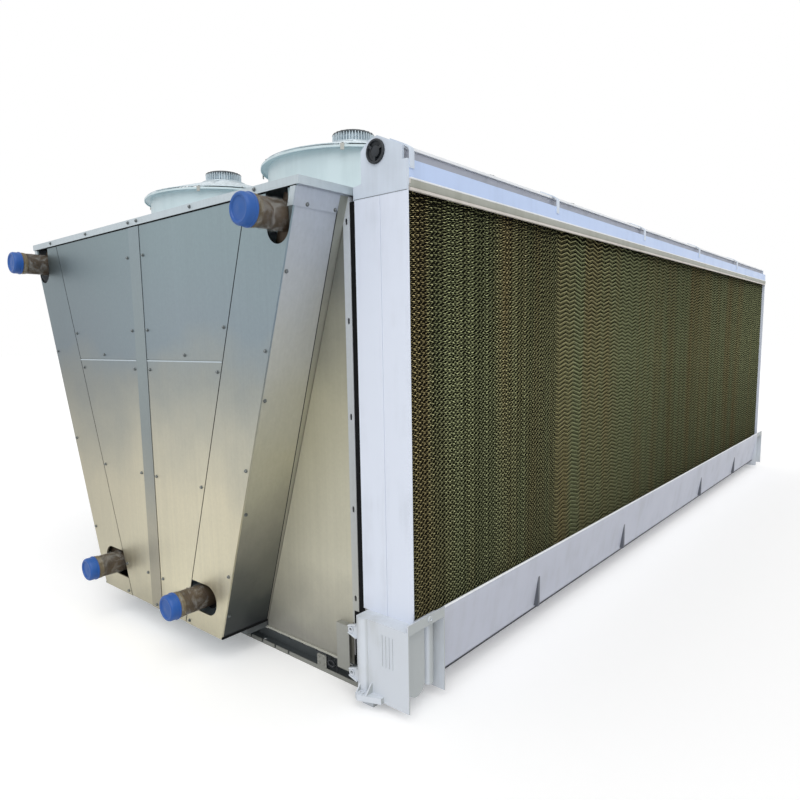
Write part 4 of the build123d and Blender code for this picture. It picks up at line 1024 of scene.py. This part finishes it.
# The strip that fills the groove is painted olive grey as the shade under the fascia.
along_hood("lip_filler_painted_shade", fascia_high[0], lip_low[2] + 0.025,
           [(0.0, -0.0145), (0.002, -0.0145), (0.0068, -0.007), (0.0068, 0.0135), (0.0, 0.0135)],
           lip_painted_shade_pvc)
along_hood("fascia_bead", fascia_high[0] + 0.004, fascia_low[2] + 0.001, round_bar(0.0042, 8),
           hood_pvc)
# A black strip along the top of the fascia: painted shadow.
along_hood("fascia_top_painted_shadow", fascia_high[0] - 0.008, fascia_high[2], flat_bar(0.002, 0.006),
           plug_rubber)
# A grey strip under the eave: painted shade.
along_hood("eave_painted_shade", fascia_high[0] - 0.036, fascia_high[2] + 0.018, flat_bar(0.005, 0.044),
           eave_shade_grey)

# %% [markdown]
# ## Plugs
# The spray pipe ends in a black rubber plug with a raised rim, a boss and three webs in its dish.

# %% Rubber plugs
bm = bmesh.new()
plug_low, plug_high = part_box("pipe_plugs")
for y, out in ((plug_low[1], -1), (plug_high[1], 1)):
    middle = Vector(((plug_low[0] + plug_high[0]) / 2, y - out * 0.008, (plug_low[2] + plug_high[2]) / 2))
    place = facing(middle, (0, out, 0))
    turned(bm, [(0.045, 0.0), (0.045, 0.006), (0.043, 0.008), (0.037, 0.008), (0.035, 0.0),
                (0.022, -0.004), (0.021, 0.004), (0.016, 0.006), (0.0, 0.006)], place, 36)
    for turn in (0.4, 2.5, 4.6):
        grip = [(0.020, -0.004), (0.036, -0.006), (0.036, 0.006), (0.020, 0.004)]
        plate(bm, grip, 0.007, place @ Matrix.Rotation(turn, 4, "Z"))
piece("rubber_plugs", bm, plug_rubber, instead=["pipe_plugs"])

# %% [markdown]
# ## Sump ends
# The end of the sump is one large moulding. The bolt ears have raised rims, a peg stands on the
# upper band, and a lug with two ribs reaches out in front for a ground bolt. Four upright
# flutes stiffen the front. These are small forms on the CAD block, made once and mirrored for
# the far end.

# %% Ear rims, pegs, flutes and lugs
SUMP_FACE, SUMP_FRONT = 1.524, -3.155
LUG_LEFT, LUG_RIGHT, LUG_REACH = 1.268, 1.392, 0.055
LUG_FOOT, LUG_THICK = 0.042, 0.024
LUG_TOP = LUG_FOOT + LUG_THICK
FLUTE_X, FLUTE_LOW, FLUTE_HIGH = 1.415, 0.198, 0.328

bm = bmesh.new()
for end in (1, -1):
    front = SUMP_FRONT * end
    proud = front - 0.003 * end
    for z in (0.114, 0.302):
        turned(bm, [(0.008, 0.0), (0.014, 0.0), (0.014, 0.004), (0.008, 0.004), (0.008, 0.0)],
               facing((1.217, front, z), (0, -end, 0)), 20)
        for tilt in (-1, 1):
            bar(bm, (1.249, proud, z + tilt * 0.029), (1.203, proud, z + tilt * 0.014), 0.008, 0.005, ALONG_Y)
    turned(bm, [(0.013, 0.0), (0.013, 0.004), (0.010, 0.006), (0.006, 0.006), (0.005, 0.002), (0.0, 0.002)],
           facing((SUMP_FACE, -3.018 * end, 0.384), (1, 0, 0)), 20)
    for x in (FLUTE_X + across for across in (-0.027, -0.009, 0.009, 0.027)):
        bar(bm, (x, front, FLUTE_LOW), (x, front, FLUTE_HIGH), 0.005, 0.005, ALONG_Y)
    outline = [(LUG_LEFT, 0.0), (LUG_LEFT + 0.008, -LUG_REACH * 0.8), (LUG_LEFT + 0.026, -LUG_REACH),
               (LUG_LEFT + 0.052, -LUG_REACH * 0.8), (LUG_RIGHT, -LUG_REACH * 0.3), (LUG_RIGHT, 0.0)]
    plate(bm, [(x, y * end) for x, y in outline], LUG_THICK, Matrix.Translation((0, front, LUG_FOOT)))
    for x in (LUG_LEFT + 0.006, LUG_LEFT + 0.058):
        side_view = Matrix(((0, 0, 1, x), (-end, 0, 0, front), (0, 1, 0, 0), (0, 0, 0, 1)))
        web = [(0.0, LUG_TOP - 0.004), (LUG_REACH * 0.7, LUG_TOP), (0.006, 0.105), (0.0, 0.105)]
        plate(bm, web, 0.006, side_view)
    turned(bm, [(0.007, 0.0), (0.013, 0.0), (0.013, 0.003), (0.007, 0.003), (0.007, 0.0)],
           Matrix.Translation((LUG_LEFT + 0.030, front - LUG_REACH * 0.55 * end, LUG_TOP)), 20)
piece("sump_end_fittings", bm, sump_cap_pvc)

# %% [markdown]
# ## Trough rim
# A white round bar along the top edge of each trough length is a painted highlight on its rim,
# and a dark joint shows where its foot meets the ground frame.

# %% Rim and foot lines of the trough
trough_low, trough_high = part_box("sump_troughs")
ends = (trough_low[1] + 0.002, trough_high[1] - 0.002)
rim_highlights, joints = bmesh.new(), bmesh.new()
# A white bar along the rim: painted highlight.
swept(rim_highlights, [Vector((SUMP_FACE - 0.002, y, trough_high[2] - 0.002)) for y in ends], round_bar(0.005, 8),
      ALONG_X)
swept(joints, [Vector((SUMP_FACE - 0.045, y, trough_low[2] - 0.002)) for y in ends], flat_bar(0.010, 0.006),
      ALONG_X)
piece("trough_rim_highlights", rim_highlights, hood_pvc)
piece("trough_foot_joints", joints, plug_rubber)

# %% [markdown]
# ## Coil frames and deck seams
# The coil blocks are framed by folded sheet flanges that hide the fin ends. The deck sheets are
# joined by capped seams with a row of screws. Both are plain plates laid on the CAD faces.

# %% Coil flanges, deck seams and rear stiffeners
coil_low, coil_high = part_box("left_coil")

bm = bmesh.new()
tall = (SHEET_TOP - SILL) * SLOPE
for n in range(6):
    y = coil_low[1] + 0.03 + n * (coil_high[1] - coil_low[1] - 0.06) / 5
    panel(bm, -0.028, 0.028, 0.0, tall, 0.004, on_side(-1, SILL, y))
middle = (coil_low[1] + coil_high[1]) / 2
reach = (coil_high[1] - coil_low[1]) / 2
for low, high in ((0.0, 0.065), (tall - 0.065, tall)):
    panel(bm, -reach, reach, low, high, 0.003, on_side(-1, SILL, middle))
piece("coil_flanges", bm, top_sheet)

deck_low, deck_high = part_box("fan_decks")
FAN_PITCH = 1.2
bm, heads = bmesh.new(), bmesh.new()
wide = deck_high[0] - 0.02
for n in range(6):
    y = min(max(FANS[0].y + FAN_PITCH * (n - 0.5), deck_low[1] + 0.02), deck_high[1] - 0.02)
    swept(bm, [Vector((x, y, deck_high[2] + 0.003)) for x in (-wide, wide)],
          [(-0.022, -0.003), (0.022, -0.003), (0.018, 0.003), (-0.018, 0.003)], ALONG_Y)
    for k in range(9):
        screw(heads, (-wide + 0.06 + (2 * wide - 0.12) * k / 8, y, deck_high[2] + 0.006), (0, 0, 1), 0.008)
piece("deck_seams", bm, top_sheet)
piece("deck_seam_screws", heads, plated_screw)

bm = bmesh.new()
for x in (-0.3, 0.3):
    swept(bm, [Vector((x, REAR_PLANE, 0.16)), Vector((x, REAR_PLANE, 2.03))],
          [(-0.035, -0.012), (-0.020, 0.0), (0.020, 0.0), (0.035, -0.012)], ALONG_X)
for side in (-1, 1):
    for z in (0.3, 0.7, 1.1, 1.5, 1.9):
        screw(bm, (side * 0.36, REAR_PLANE, z), (0, 1, 0))
piece("rear_stiffeners", bm, end_sheet)

# %% [markdown]
# ## Finishing
# The picture keeps plain colours, and the size of the dressed machine is printed.

# %% Plain colours and size
scene.view_settings.view_transform = "Standard"
low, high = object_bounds()
print("visual box", [round(v, 3) for v in low], [round(v, 3) for v in high])
